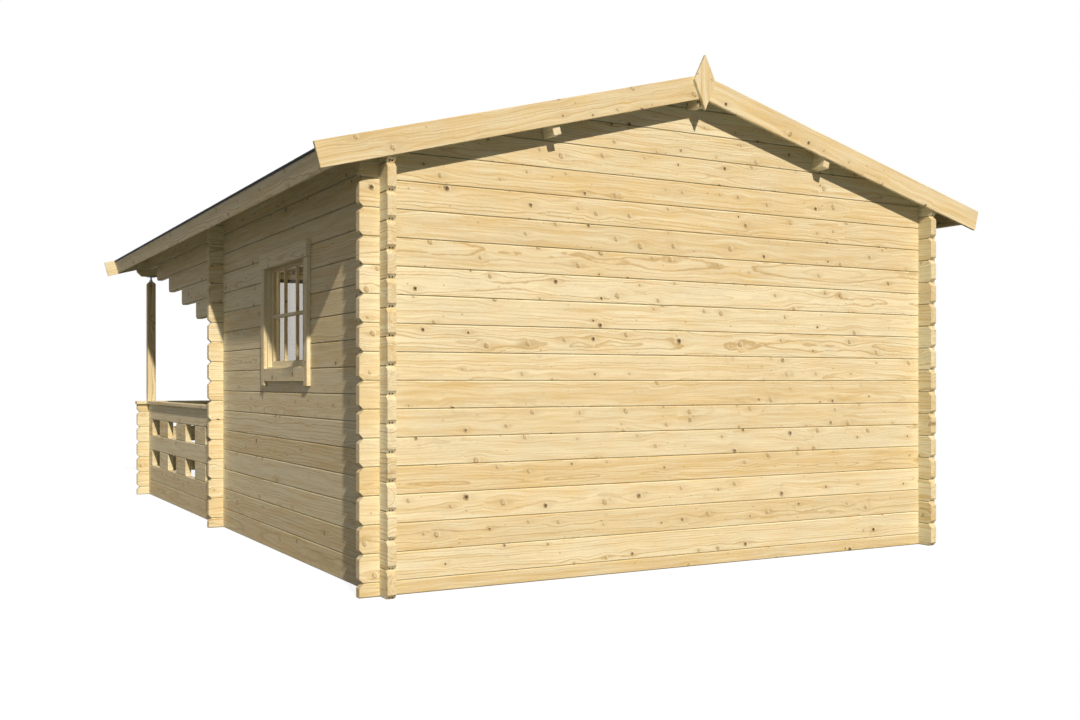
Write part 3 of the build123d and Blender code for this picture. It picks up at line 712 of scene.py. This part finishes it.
floor_pine = pine_material("floor_pine", FLOOR_KNOTS)
bearers = planed("floor_bearers", BEARER_EDGE)
fix(bearers, "floor_bearers_sawn", floor_pine, "floor_pine", "floor_bearers")
for node in ("room_floor", "porch_floor"):
    low, high = (Vector(corner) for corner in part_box(node))
    board_pitch = (high.x - low.x) / FLOOR_BOARDS
    section = edged_profile(board_pitch - FLOOR_BOARD_GAP, high.z - low.z, FLOOR_BOARD_EDGE)
    boards = new_boards()
    for place in range(FLOOR_BOARDS):
        board_x = low.x + (place + 0.5) * board_pitch
        add_board(
            boards,
            section,
            Vector((board_x, low.y, low.z)),
            Vector((board_x, high.y, low.z)),
            Vector((1, 0, 0)),
            Vector((0, 0, 1)),
        )
    fix(boards, f"{node}_boards", floor_pine, "floor_pine", node)

# Purlins and roof boards
# Three pine purlins are let into the gables. Matched boards lie across them from ridge to eave, with
# a small V along each joint on the side that shows from below.
FIT_GAP = 0.0003
SLOPE = radians(15)
PURLIN_EDGE = 0.003
ROOF_BOARD_COUNT = 61
ROOF_BOARD_THICKNESS = 0.0197
ROOF_BOARD_GAP = 0.0006
ROOF_BOARD_EDGE = 0.004
EAVE_RUN = 2.1379
FASCIA_THICKNESS = 0.018
ROOF_KNOTS = 0.7

ridge = Vector((0, 0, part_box("ridge_purlin")[1][2] + FIT_GAP))
roof_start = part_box("roof_boards_right")[0][1]
roof_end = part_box("roof_boards_right")[1][1]


def down_slope(side):
    """Direction from the ridge down one slope."""
    return Vector((side * cos(SLOPE), 0, -sin(SLOPE)))


def off_slope(side):
    """Direction square to one slope, away from the roof."""
    return Vector((side * sin(SLOPE), 0, cos(SLOPE)))


roof_pine = pine_material("roof_pine", ROOF_KNOTS)
for node in ("ridge_purlin", "right_purlin", "left_purlin"):
    fix(planed(node, PURLIN_EDGE), f"{node}_beam", roof_pine, "roof_pine", node)

roof_pitch = (roof_end - roof_start) / ROOF_BOARD_COUNT
roof_section = [
    (-aside, ROOF_BOARD_THICKNESS - above)
    for aside, above in edged_profile(roof_pitch - ROOF_BOARD_GAP, ROOF_BOARD_THICKNESS, ROOF_BOARD_EDGE)
]
for side, node in ((1, "roof_boards_right"), (-1, "roof_boards_left")):
    boards = new_boards()
    for place in range(ROOF_BOARD_COUNT):
        top = ridge + Vector((0, roof_start + (place + 0.5) * roof_pitch, 0))
        add_board(
            boards,
            roof_section,
            top + down_slope(side) * FIT_GAP,
            top + down_slope(side) * (EAVE_RUN - FASCIA_THICKNESS - FIT_GAP),
            Vector((0, 1, 0)),
            off_slope(side),
            lean=-tan(SLOPE),
        )
    fix(boards, f"{node}_laid", roof_pine, "roof_pine", node)

# Roofing felt
# Black mineral felt in metre-wide strips, lapped down each slope, folded over the ridge and turned
# down over the fascia. Rows of galvanised clout nails hold the laps.
FELT_THICKNESS = 0.0024
FELT_BASE = 0.0201
FELT_LAP_STEP = 0.0026
FELT_DROP = 0.014
FELT_EDGE = 0.0032
EAVE_STRIP_TOP = 1.20
MIDDLE_STRIP_TOP = 0.30
FELT_LAP = 0.08
LAP_SLOPE = 0.02
FELT_SECTIONS = 72
FELT_RIPPLE = 0.0007
NAIL_SPACING = 0.1
NAIL_INSET = 0.025
NAIL_RADIUS = 0.005
NAIL_HEIGHT = 0.0012
HEAD_SIDES = 10
FELT_DARK = (0.016, 0.017, 0.018, 1)
FELT_LIGHT = (0.062, 0.063, 0.066, 1)
ZINC_DULL = (0.46, 0.47, 0.48, 1)
ZINC_BRIGHT = (0.66, 0.67, 0.69, 1)
FELT_SEED = 7
CHIP_SCALE = (900, 900, 900)
CHIP_RANGE = (-0.15, 0.25)
CHIP_ROUGHNESS = 0.25
WEAR_SCALE = (3.1, 1.3, 3.1)
WEAR_STRENGTH = 0.7
FELT_ROUGHNESS = 0.88
FELT_BUMP = 0.6
FELT_RELIEF = 0.001
FELT_SPECULAR = 0.2
HEAD_RIM_SHARE = 0.4
HEAD_CROWN_SHARE = 0.6
SPANGLE_SCALE = (260, 260, 260)
SPANGLE_RANGE = (-0.2, 0.2)
SPANGLE_ROUGHNESS = 0.3
ZINC_ROUGHNESS = 0.42


def roof_point(side, run, rise):
    """Point a way down one slope and off its boards, in the middle of the roof's length."""
    return ridge + down_slope(side) * run + off_slope(side) * rise


def felt_material():
    """Bitumen felt with crushed slate pressed into it."""
    material = bpy.data.materials.new("mineral_felt")
    material.use_nodes = True
    tree = material.node_tree
    surface = tree.nodes["Principled BSDF"]
    x, y, z = split(tree, tree.nodes.new("ShaderNodeTexCoord").outputs["Object"])
    chips = cloud(tree, x, y, z, CHIP_SCALE, 1)
    worn = cloud(tree, x, y, z, WEAR_SCALE, 4)
    bright = calc(tree, "MULTIPLY_ADD", worn, WEAR_STRENGTH, ramp(tree, chips, *CHIP_RANGE))
    tree.links.new(mix(tree, bright, FELT_DARK, FELT_LIGHT), surface.inputs["Base Color"])
    rough = calc(tree, "MULTIPLY_ADD", chips, CHIP_ROUGHNESS, FELT_ROUGHNESS)
    tree.links.new(rough, surface.inputs["Roughness"])
    bump = tree.nodes.new("ShaderNodeBump")
    bump.inputs["Strength"].default_value = FELT_BUMP
    bump.inputs["Distance"].default_value = FELT_RELIEF
    tree.links.new(chips, bump.inputs["Height"])
    tree.links.new(bump.outputs["Normal"], surface.inputs["Normal"])
    surface.inputs["Specular IOR Level"].default_value = FELT_SPECULAR
    return material


def close_rings(shape, rings):
    """Skin over rings of points that follow each other, closed at both ends."""
    faces = [shape.faces.new(rings[0]), shape.faces.new(rings[-1])]
    for near, far in zip(rings, rings[1:]):
        for corner in range(len(near)):
            faces.append(shape.faces.new((near[corner - 1], near[corner], far[corner], far[corner - 1])))
    bmesh.ops.recalc_face_normals(shape, faces=faces)


def add_strip(shape, outline, draw):
    """Felt strip along the roof, from its closed outline across the slope, lying not quite flat."""
    rings = []
    for section in range(FELT_SECTIONS + 1):
        place_y = roof_start + (roof_end - roof_start) * section / FELT_SECTIONS
        lift = Vector((0, place_y, draw.uniform(0, FELT_RIPPLE)))
        rings.append([shape.verts.new(point + lift) for point in outline])
    close_rings(shape, rings)


def add_head(shape, place, normal, radius, height):
    """Low domed nail or screw head."""
    aside = normal.orthogonal().normalized()
    other = normal.cross(aside)
    rings = []
    rim = (radius, height * HEAD_RIM_SHARE)
    crown = (radius * HEAD_CROWN_SHARE, height)
    for ring_radius, rise in ((radius, 0.0), rim, crown):
        ring = []
        for corner in range(HEAD_SIDES):
            turn = 2 * pi * corner / HEAD_SIDES
            spoke = aside * cos(turn) + other * sin(turn)
            ring.append(shape.verts.new(place + spoke * ring_radius + normal * rise))
        rings.append(ring)
    close_rings(shape, rings)


def zinc_material(name):
    """Galvanised steel with a dull, uneven skin."""
    material = bpy.data.materials.new(name)
    material.use_nodes = True
    tree = material.node_tree
    surface = tree.nodes["Principled BSDF"]
    x, y, z = split(tree, tree.nodes.new("ShaderNodeTexCoord").outputs["Object"])
    spangle = cloud(tree, x, y, z, SPANGLE_SCALE, 3)
    shine = ramp(tree, spangle, *SPANGLE_RANGE)
    tree.links.new(mix(tree, shine, ZINC_DULL, ZINC_BRIGHT), surface.inputs["Base Color"])
    rough = calc(tree, "MULTIPLY_ADD", spangle, SPANGLE_ROUGHNESS, ZINC_ROUGHNESS)
    tree.links.new(rough, surface.inputs["Roughness"])
    surface.inputs["Metallic"].default_value = 1
    return material


felt = felt_material()
draw = random.Random(FELT_SEED)
felt_top = FELT_BASE + FELT_THICKNESS
lap_base = FELT_BASE + FELT_LAP_STEP + FELT_RIPPLE
lap_top = felt_top + FELT_LAP_STEP + FELT_RIPPLE
felt_out = EAVE_RUN + FELT_EDGE
middle_strip_end = EAVE_STRIP_TOP + FELT_LAP
ridge_strip_end = MIDDLE_STRIP_TOP + FELT_LAP
eave_outline = [
    (EAVE_STRIP_TOP, felt_top),
    (felt_out, felt_top),
    (felt_out, felt_top - FELT_DROP),
    (felt_out - FELT_THICKNESS, felt_top - FELT_DROP),
    (felt_out - FELT_THICKNESS, FELT_BASE),
    (EAVE_STRIP_TOP, FELT_BASE),
]


def lapped_outline(start_top, start_base, lap_start, lap_end):
    """Strip that climbs onto the strip below it at its lap."""
    return [
        (start_top, felt_top),
        (lap_start - LAP_SLOPE, felt_top),
        (lap_start, lap_top),
        (lap_end, lap_top),
        (lap_end, lap_base),
        (lap_start, lap_base),
        (lap_start - LAP_SLOPE, FELT_BASE),
        (start_base, FELT_BASE),
    ]


middle_outline = lapped_outline(MIDDLE_STRIP_TOP, MIDDLE_STRIP_TOP, EAVE_STRIP_TOP, middle_strip_end)
ridge_outline = lapped_outline(
    -felt_top * tan(SLOPE), -FELT_BASE * tan(SLOPE), MIDDLE_STRIP_TOP, ridge_strip_end
)
nails = bmesh.new()
nail_count = int((roof_end - roof_start) / NAIL_SPACING)
for side, node in ((1, "roofing_felt_right"), (-1, "roofing_felt_left")):
    strips = bmesh.new()
    for outline in (eave_outline, middle_outline, ridge_outline):
        add_strip(strips, [roof_point(side, *point) for point in outline], draw)
    fix(strips, f"{node}_strips", felt, "roofing_felt", node)
    for lap_end in (middle_strip_end, ridge_strip_end):
        seat = roof_point(side, lap_end - NAIL_INSET, lap_top)
        for place in range(nail_count):
            along_roof = Vector((0, roof_start + (place + 0.5) * NAIL_SPACING, 0))
            add_head(nails, seat + along_roof, off_slope(side), NAIL_RADIUS, NAIL_HEIGHT)
fix(nails, "felt_nails", zinc_material("galvanised_steel"), "zinc_screw")

# Fascias, bargeboards and finials
# Planed pine boards close the eaves and the gable edges of the roof, and a pointed board covers the
# joint of each pair of bargeboards. They are nailed to the roof boards and purlins.
TRIM_EDGE = 0.002
TRIM_KNOTS = 0.75


def slope_grain(centre):
    """Grain that runs down the slope a bargeboard lies on."""
    side = 1 if centre.x > 0 else -1
    return down_slope(side), off_slope(side), Vector((0, 1, 0))


trim_pine = pine_material("trim_pine", TRIM_KNOTS)
for node in ("eave_fascia_right", "eave_fascia_left", "finials"):
    fix(planed(node, TRIM_EDGE), f"{node}_planed", trim_pine, "trim_pine", node)
for node in ("bargeboards_back", "bargeboards_front"):
    fix(planed(node, TRIM_EDGE, slope_grain), f"{node}_planed", trim_pine, "trim_pine", node)

# Porch posts and handrail caps
# Square pine posts with tapered tops stand on the caps of the porch rails. Each carries the beam on
# an adjusting screw, so that the roof can be let down as the logs dry.
POST_EDGE = 0.004
CAP_EDGE = 0.004
THREAD_PITCH = 0.0025


def dress(node, material):
    """Give a CAD node its finish."""
    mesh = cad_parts[node].data
    mesh.materials.clear()
    mesh.materials.append(material)


for node, radius in (("porch_posts", POST_EDGE), ("handrail_caps", CAP_EDGE)):
    fix(planed(node, radius), f"{node}_planed", trim_pine, "trim_pine", node)

screw_steel = zinc_material("threaded_steel")
screw_tree = screw_steel.node_tree
_, _, screw_height = split(screw_tree, screw_tree.nodes.new("ShaderNodeTexCoord").outputs["Object"])
thread = calc(screw_tree, "PINGPONG", calc(screw_tree, "DIVIDE", screw_height, THREAD_PITCH), 0.5)
thread_bump = screw_tree.nodes.new("ShaderNodeBump")
thread_bump.inputs["Strength"].default_value = 1
thread_bump.inputs["Distance"].default_value = THREAD_PITCH
screw_tree.links.new(thread, thread_bump.inputs["Height"])
screw_tree.links.new(thread_bump.outputs["Normal"], screw_tree.nodes["Principled BSDF"].inputs["Normal"])
dress("post_screws", screw_steel)

# Windows
# Pine casings nailed over the log openings, linings inside them, and sashes with one pane each.
# Flat glazing bars stuck on the outer face of the glass divide the panes.
CASING_EDGE = 0.002
BAR_WIDTH = 0.024
BAR_EDGE = 0.004
BAR_DEPTH = 0.0155
SIDE_PANES = (3, 2)
FRONT_PANES = (2, 1)
TALL_PANE = 0.7
CASING_NAIL_RADIUS = 0.0032
CASING_NAIL_HEIGHT = 0.001
CASING_NAIL_INSET = 0.035
GLASS_TINT = (0.709, 0.691, 0.665, 1)
STEEL_DULL = (0.20, 0.19, 0.18, 1)
STEEL_WORN = (0.38, 0.36, 0.34, 1)
JOINERY_KNOTS = 0.35
GLASS_ROUGHNESS = 0.01
GLASS_IOR = 1.04
GLASS_WAVE_SCALE = (3, 3, 3)
GLASS_BUMP = 0.04
GLASS_RELIEF = 0.001
DULL_SCALE = (400, 400, 400)
DULL_RANGE = (-0.2, 0.2)
DULL_ROUGHNESS = 0.2
NAIL_ROUGHNESS = 0.45


def solid_boxes(node):
    """Lowest and highest corners of each solid in a node."""
    shape = welded(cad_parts[node].data)
    boxes = [corners(solid) for solid in separate_solids(shape)]
    shape.free()
    return boxes


def facing(low, high):
    """Outward direction and level direction of an upright pane or board."""
    size = high - low
    if size.x < size.y:
        return Vector((1 if low.x > 0 else -1, 0, 0)), Vector((0, 1, 0))
    return Vector((0, -1, 0)), Vector((1, 0, 0))


def add_bars(shape, low, high, columns, rows):
    """Upright and level glazing bars on the outer face of one pane."""
    outward, level = facing(low, high)
    upward = Vector((0, 0, 1))
    width = abs((high - low).dot(level))
    height = high.z - low.z
    half_pane = abs((high - low).dot(outward)) / 2
    base = (low + high) / 2 + outward * (half_pane + FIT_GAP)
    base = base - upward * (height / 2) - level * (width / 2)
    half = BAR_WIDTH / 2
    section = [(-half, 0), (half, 0), (half - BAR_EDGE, BAR_DEPTH), (BAR_EDGE - half, BAR_DEPTH)]
    for column in range(1, columns):
        foot = base + level * (width * column / columns)
        add_board(shape, section, foot, foot + upward * height, level, outward)
    for row in range(1, rows):
        for column in range(columns):
            start = width * column / columns + (half if column else 0)
            stop = width * (column + 1) / columns - (half if column < columns - 1 else 0)
            side = base + upward * (height * row / rows)
            add_board(shape, section, side + level * start, side + level * stop, upward, outward)


def glass_material():
    """Float glass, faintly warm and a little uneven."""
    material = bpy.data.materials.new("float_glass")
    material.use_nodes = True
    tree = material.node_tree
    surface = tree.nodes["Principled BSDF"]
    surface.inputs["Base Color"].default_value = GLASS_TINT
    surface.inputs["Roughness"].default_value = GLASS_ROUGHNESS
    surface.inputs["IOR"].default_value = GLASS_IOR
    surface.inputs["Transmission Weight"].default_value = 1
    x, y, z = split(tree, tree.nodes.new("ShaderNodeTexCoord").outputs["Object"])
    bump = tree.nodes.new("ShaderNodeBump")
    bump.inputs["Strength"].default_value = GLASS_BUMP
    bump.inputs["Distance"].default_value = GLASS_RELIEF
    tree.links.new(cloud(tree, x, y, z, GLASS_WAVE_SCALE, 1), bump.inputs["Height"])
    tree.links.new(bump.outputs["Normal"], surface.inputs["Normal"])
    return material


def nail_material():
    """Plain steel nail heads gone dull."""
    material = bpy.data.materials.new("dull_steel")
    material.use_nodes = True
    tree = material.node_tree
    surface = tree.nodes["Principled BSDF"]
    x, y, z = split(tree, tree.nodes.new("ShaderNodeTexCoord").outputs["Object"])
    dull = ramp(tree, cloud(tree, x, y, z, DULL_SCALE, 2), *DULL_RANGE)
    tree.links.new(mix(tree, dull, STEEL_DULL, STEEL_WORN), surface.inputs["Base Color"])
    rough = calc(tree, "MULTIPLY_ADD", dull, DULL_ROUGHNESS, NAIL_ROUGHNESS)
    tree.links.new(rough, surface.inputs["Roughness"])
    surface.inputs["Metallic"].default_value = 1
    return material


def add_casing_nails(shape, node):
    """Nails near both ends and in the middle of each casing board."""
    for low, high in solid_boxes(node):
        outward, level = facing(low, high)
        size = high - low
        run = Vector((0, 0, 1)) if size.z > max(size.x, size.y) else level
        length = abs(size.dot(run))
        front = (low + high) / 2 + outward * (abs(size.dot(outward)) / 2)
        for share in (-1, 0, 1):
            seat = front + run * (share * (length / 2 - CASING_NAIL_INSET))
            add_head(shape, seat, outward, CASING_NAIL_RADIUS, CASING_NAIL_HEIGHT)


glass = glass_material()
joinery_pine = pine_material("joinery_pine", JOINERY_KNOTS)
casing_nails = bmesh.new()
for window in ("right_window", "left_window", "front_right_window", "front_left_window"):
    for kind in ("casing", "lining", "sash"):
        node = f"{window}_{kind}"
        fix(planed(node, CASING_EDGE), f"{node}_planed", joinery_pine, "trim_pine", node)
    add_casing_nails(casing_nails, f"{window}_casing")
bars = new_boards()
for low, high in solid_boxes("window_glass"):
    add_bars(bars, low, high, *(FRONT_PANES if high.z - low.z > TALL_PANE else SIDE_PANES))
fix(bars, "window_glazing_bars", joinery_pine, "trim_pine")
dress("window_glass", glass)

# Door
# A framed pine leaf with a glazed upper half over upright matched boards, hung in a lining with a
# casing round it. A satin lever handle is screwed through its left stile.
DOOR_PANEL_BOARDS = 6
DOOR_PANEL_GAP = 0.0008
DOOR_PANEL_EDGE = 0.003
PANEL_MOST = 0.03
DOOR_PANES = (2, 3)
HANDLE_DARK = (0.50, 0.50, 0.49, 1)
HANDLE_LIGHT = (0.70, 0.70, 0.69, 1)
BRUSH_SCALE = (60, 1500, 1500)
BRUSH_RANGE = (-0.25, 0.25)
BRUSH_ROUGHNESS = 0.2
HANDLE_ROUGHNESS = 0.34

for node in ("door_casing", "door_lining"):
    fix(planed(node, CASING_EDGE), f"{node}_planed", joinery_pine, "trim_pine", node)
add_casing_nails(casing_nails, "door_casing")
fix(casing_nails, "casing_nails", nail_material(), "zinc_screw")

leaf = welded(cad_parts["door_leaf"].data)
for solid in separate_solids(leaf):
    low, high = corners(solid)
    if high.y - low.y < PANEL_MOST:
        panel_low, panel_high = low, high
        bmesh.ops.delete(leaf, geom=solid, context="VERTS")
        break
leaf = eased(leaf, CASING_EDGE)
mark_grain(leaf)
fix(leaf, "door_leaf_frame", joinery_pine, "trim_pine", "door_leaf")
panel_pitch = (panel_high.x - panel_low.x) / DOOR_PANEL_BOARDS
panel_half = (panel_pitch - DOOR_PANEL_GAP) / 2
panel_depth = panel_high.y - panel_low.y
panel_section = [
    (DOOR_PANEL_EDGE - panel_half, 0),
    (panel_half - DOOR_PANEL_EDGE, 0),
    (panel_half, DOOR_PANEL_EDGE),
    (panel_half, panel_depth - DOOR_PANEL_EDGE),
    (panel_half - DOOR_PANEL_EDGE, panel_depth),
    (DOOR_PANEL_EDGE - panel_half, panel_depth),
    (-panel_half, panel_depth - DOOR_PANEL_EDGE),
    (-panel_half, DOOR_PANEL_EDGE),
]
panel = new_boards()
for place in range(DOOR_PANEL_BOARDS):
    foot = Vector((panel_low.x + (place + 0.5) * panel_pitch, panel_low.y, panel_low.z))
    head = Vector((foot.x, foot.y, panel_high.z))
    add_board(panel, panel_section, foot, head, Vector((1, 0, 0)), Vector((0, 1, 0)))
fix(panel, "door_panel_boards", joinery_pine, "trim_pine")
door_bars = new_boards()
for low, high in solid_boxes("door_glass"):
    add_bars(door_bars, low, high, *DOOR_PANES)
fix(door_bars, "door_glazing_bars", joinery_pine, "trim_pine")
dress("door_glass", glass)

handle_steel = bpy.data.materials.new("satin_steel")
handle_steel.use_nodes = True
handle_tree = handle_steel.node_tree
handle_surface = handle_tree.nodes["Principled BSDF"]
handle_place = handle_tree.nodes.new("ShaderNodeTexCoord").outputs["Object"]
brushed = cloud(handle_tree, *split(handle_tree, handle_place), BRUSH_SCALE, 2)
handle_color = mix(handle_tree, ramp(handle_tree, brushed, *BRUSH_RANGE), HANDLE_DARK, HANDLE_LIGHT)
handle_rough = calc(handle_tree, "MULTIPLY_ADD", brushed, BRUSH_ROUGHNESS, HANDLE_ROUGHNESS)
handle_tree.links.new(handle_color, handle_surface.inputs["Base Color"])
handle_tree.links.new(handle_rough, handle_surface.inputs["Roughness"])
handle_surface.inputs["Metallic"].default_value = 1
dress("door_handle", handle_steel)

# Ground and daylight
# A pale floor under a low sun that shines on the back wall, with soft sky light all round and a
# faint fill light in the closed room.
SUN_TRAVEL = Vector((-0.18, -0.84, -0.535))
SUN_STRENGTH = 3.05
SUN_COLOR = (1.0, 0.985, 0.95)
SUN_WIDTH = radians(1.2)
SKY_COLOR = (0.92, 1.0, 1.12, 1)
SKY_STRENGTH = 0.22
FLOOR_COLOR = (0.145, 0.150, 0.150, 1)
FLOOR_WHITENESS = 0.90
ROOM_MIDDLE = Vector((0, 2.0, 1.2))
ROOM_SPREAD = 0.4
ROOM_POWER = 10
FLOOR_SIZE = 160.0
WHITE = (1, 1, 1, 1)


def seen_directly(tree):
    """1 where the camera sees a surface directly, in a reflection or through glass."""
    path = tree.nodes.new("ShaderNodeLightPath")
    seen = calc(tree, "ADD", path.outputs["Is Camera Ray"], path.outputs["Is Glossy Ray"], clamp=True)
    return calc(tree, "ADD", seen, path.outputs["Is Transmission Ray"], clamp=True)


half_floor = FLOOR_SIZE / 2
floor_mesh = bpy.data.meshes.new("ground_floor")
floor_corners = [(-half_floor, -half_floor, 0), (half_floor, -half_floor, 0)]
floor_corners += [(half_floor, half_floor, 0), (-half_floor, half_floor, 0)]
floor_mesh.from_pydata(floor_corners, [], [(0, 1, 2, 3)])
floor = bpy.data.objects.new("ground_floor", floor_mesh)
bpy.context.collection.objects.link(floor)
floor_material = bpy.data.materials.new("pale_ground")
floor_material.use_nodes = True
floor_tree = floor_material.node_tree
floor_surface = floor_tree.nodes["Principled BSDF"]
floor_surface.inputs["Base Color"].default_value = FLOOR_COLOR
floor_surface.inputs["Roughness"].default_value = 1
floor_surface.inputs["Specular IOR Level"].default_value = 0
floor_surface.inputs["Emission Color"].default_value = WHITE
floor_glow = calc(floor_tree, "MULTIPLY", seen_directly(floor_tree), FLOOR_WHITENESS)
floor_tree.links.new(floor_glow, floor_surface.inputs["Emission Strength"])
floor_mesh.materials.append(floor_material)

sun_light = bpy.data.lights.new("low_sun", "SUN")
sun_light.energy = SUN_STRENGTH
sun_light.angle = SUN_WIDTH
sun_light.color = SUN_COLOR
sun = bpy.data.objects.new("low_sun", sun_light)
sun.rotation_euler = SUN_TRAVEL.to_track_quat("-Z", "Y").to_euler()
bpy.context.collection.objects.link(sun)

room_light = bpy.data.lights.new("room_fill", "POINT")
room_light.energy = ROOM_POWER
room_light.shadow_soft_size = ROOM_SPREAD
room_fill = bpy.data.objects.new("room_fill", room_light)
room_fill.location = ROOM_MIDDLE
room_fill.visible_camera = False
room_fill.visible_glossy = False
room_fill.visible_transmission = False
bpy.context.collection.objects.link(room_fill)

sky = bpy.data.worlds.new("pale_sky")
bpy.context.scene.world = sky
sky.use_nodes = True
sky_tree = sky.node_tree
sky_light = sky_tree.nodes["Background"]
sky_light.inputs["Color"].default_value = SKY_COLOR
sky_light.inputs["Strength"].default_value = SKY_STRENGTH
sky_white = sky_tree.nodes.new("ShaderNodeBackground")
sky_white.inputs["Color"].default_value = WHITE
sky_choice = sky_tree.nodes.new("ShaderNodeMixShader")
sky_tree.links.new(seen_directly(sky_tree), sky_choice.inputs["Fac"])
sky_tree.links.new(sky_light.outputs[0], sky_choice.inputs[1])
sky_tree.links.new(sky_white.outputs[0], sky_choice.inputs[2])
sky_tree.links.new(sky_choice.outputs[0], sky_tree.nodes["World Output"].inputs["Surface"])

# Camera
# Eye height just over a metre, off the corner of the back and right walls, as in the picture.
EYE = Vector((3.763, 7.880, 1.004))
HEADING = Vector((-0.48961, -0.87194, 0))
PHOTO_WIDTH = 1080
FOCAL_PIXELS = 1141.56
HORIZON_DROP_PIXELS = 22.5
SENSOR_WIDTH = 36
camera_data = bpy.data.cameras.new("photo_view")
camera_data.sensor_width = SENSOR_WIDTH
camera_data.lens = SENSOR_WIDTH * FOCAL_PIXELS / PHOTO_WIDTH
camera_data.shift_y = HORIZON_DROP_PIXELS / PHOTO_WIDTH
camera = bpy.data.objects.new("photo_view", camera_data)
camera.location = EYE
camera.rotation_euler = (pi / 2, 0, atan2(-HEADING.x, HEADING.y))
bpy.context.collection.objects.link(camera)
bpy.context.scene.camera = camera
bpy.context.scene.view_settings.view_transform = "Standard"
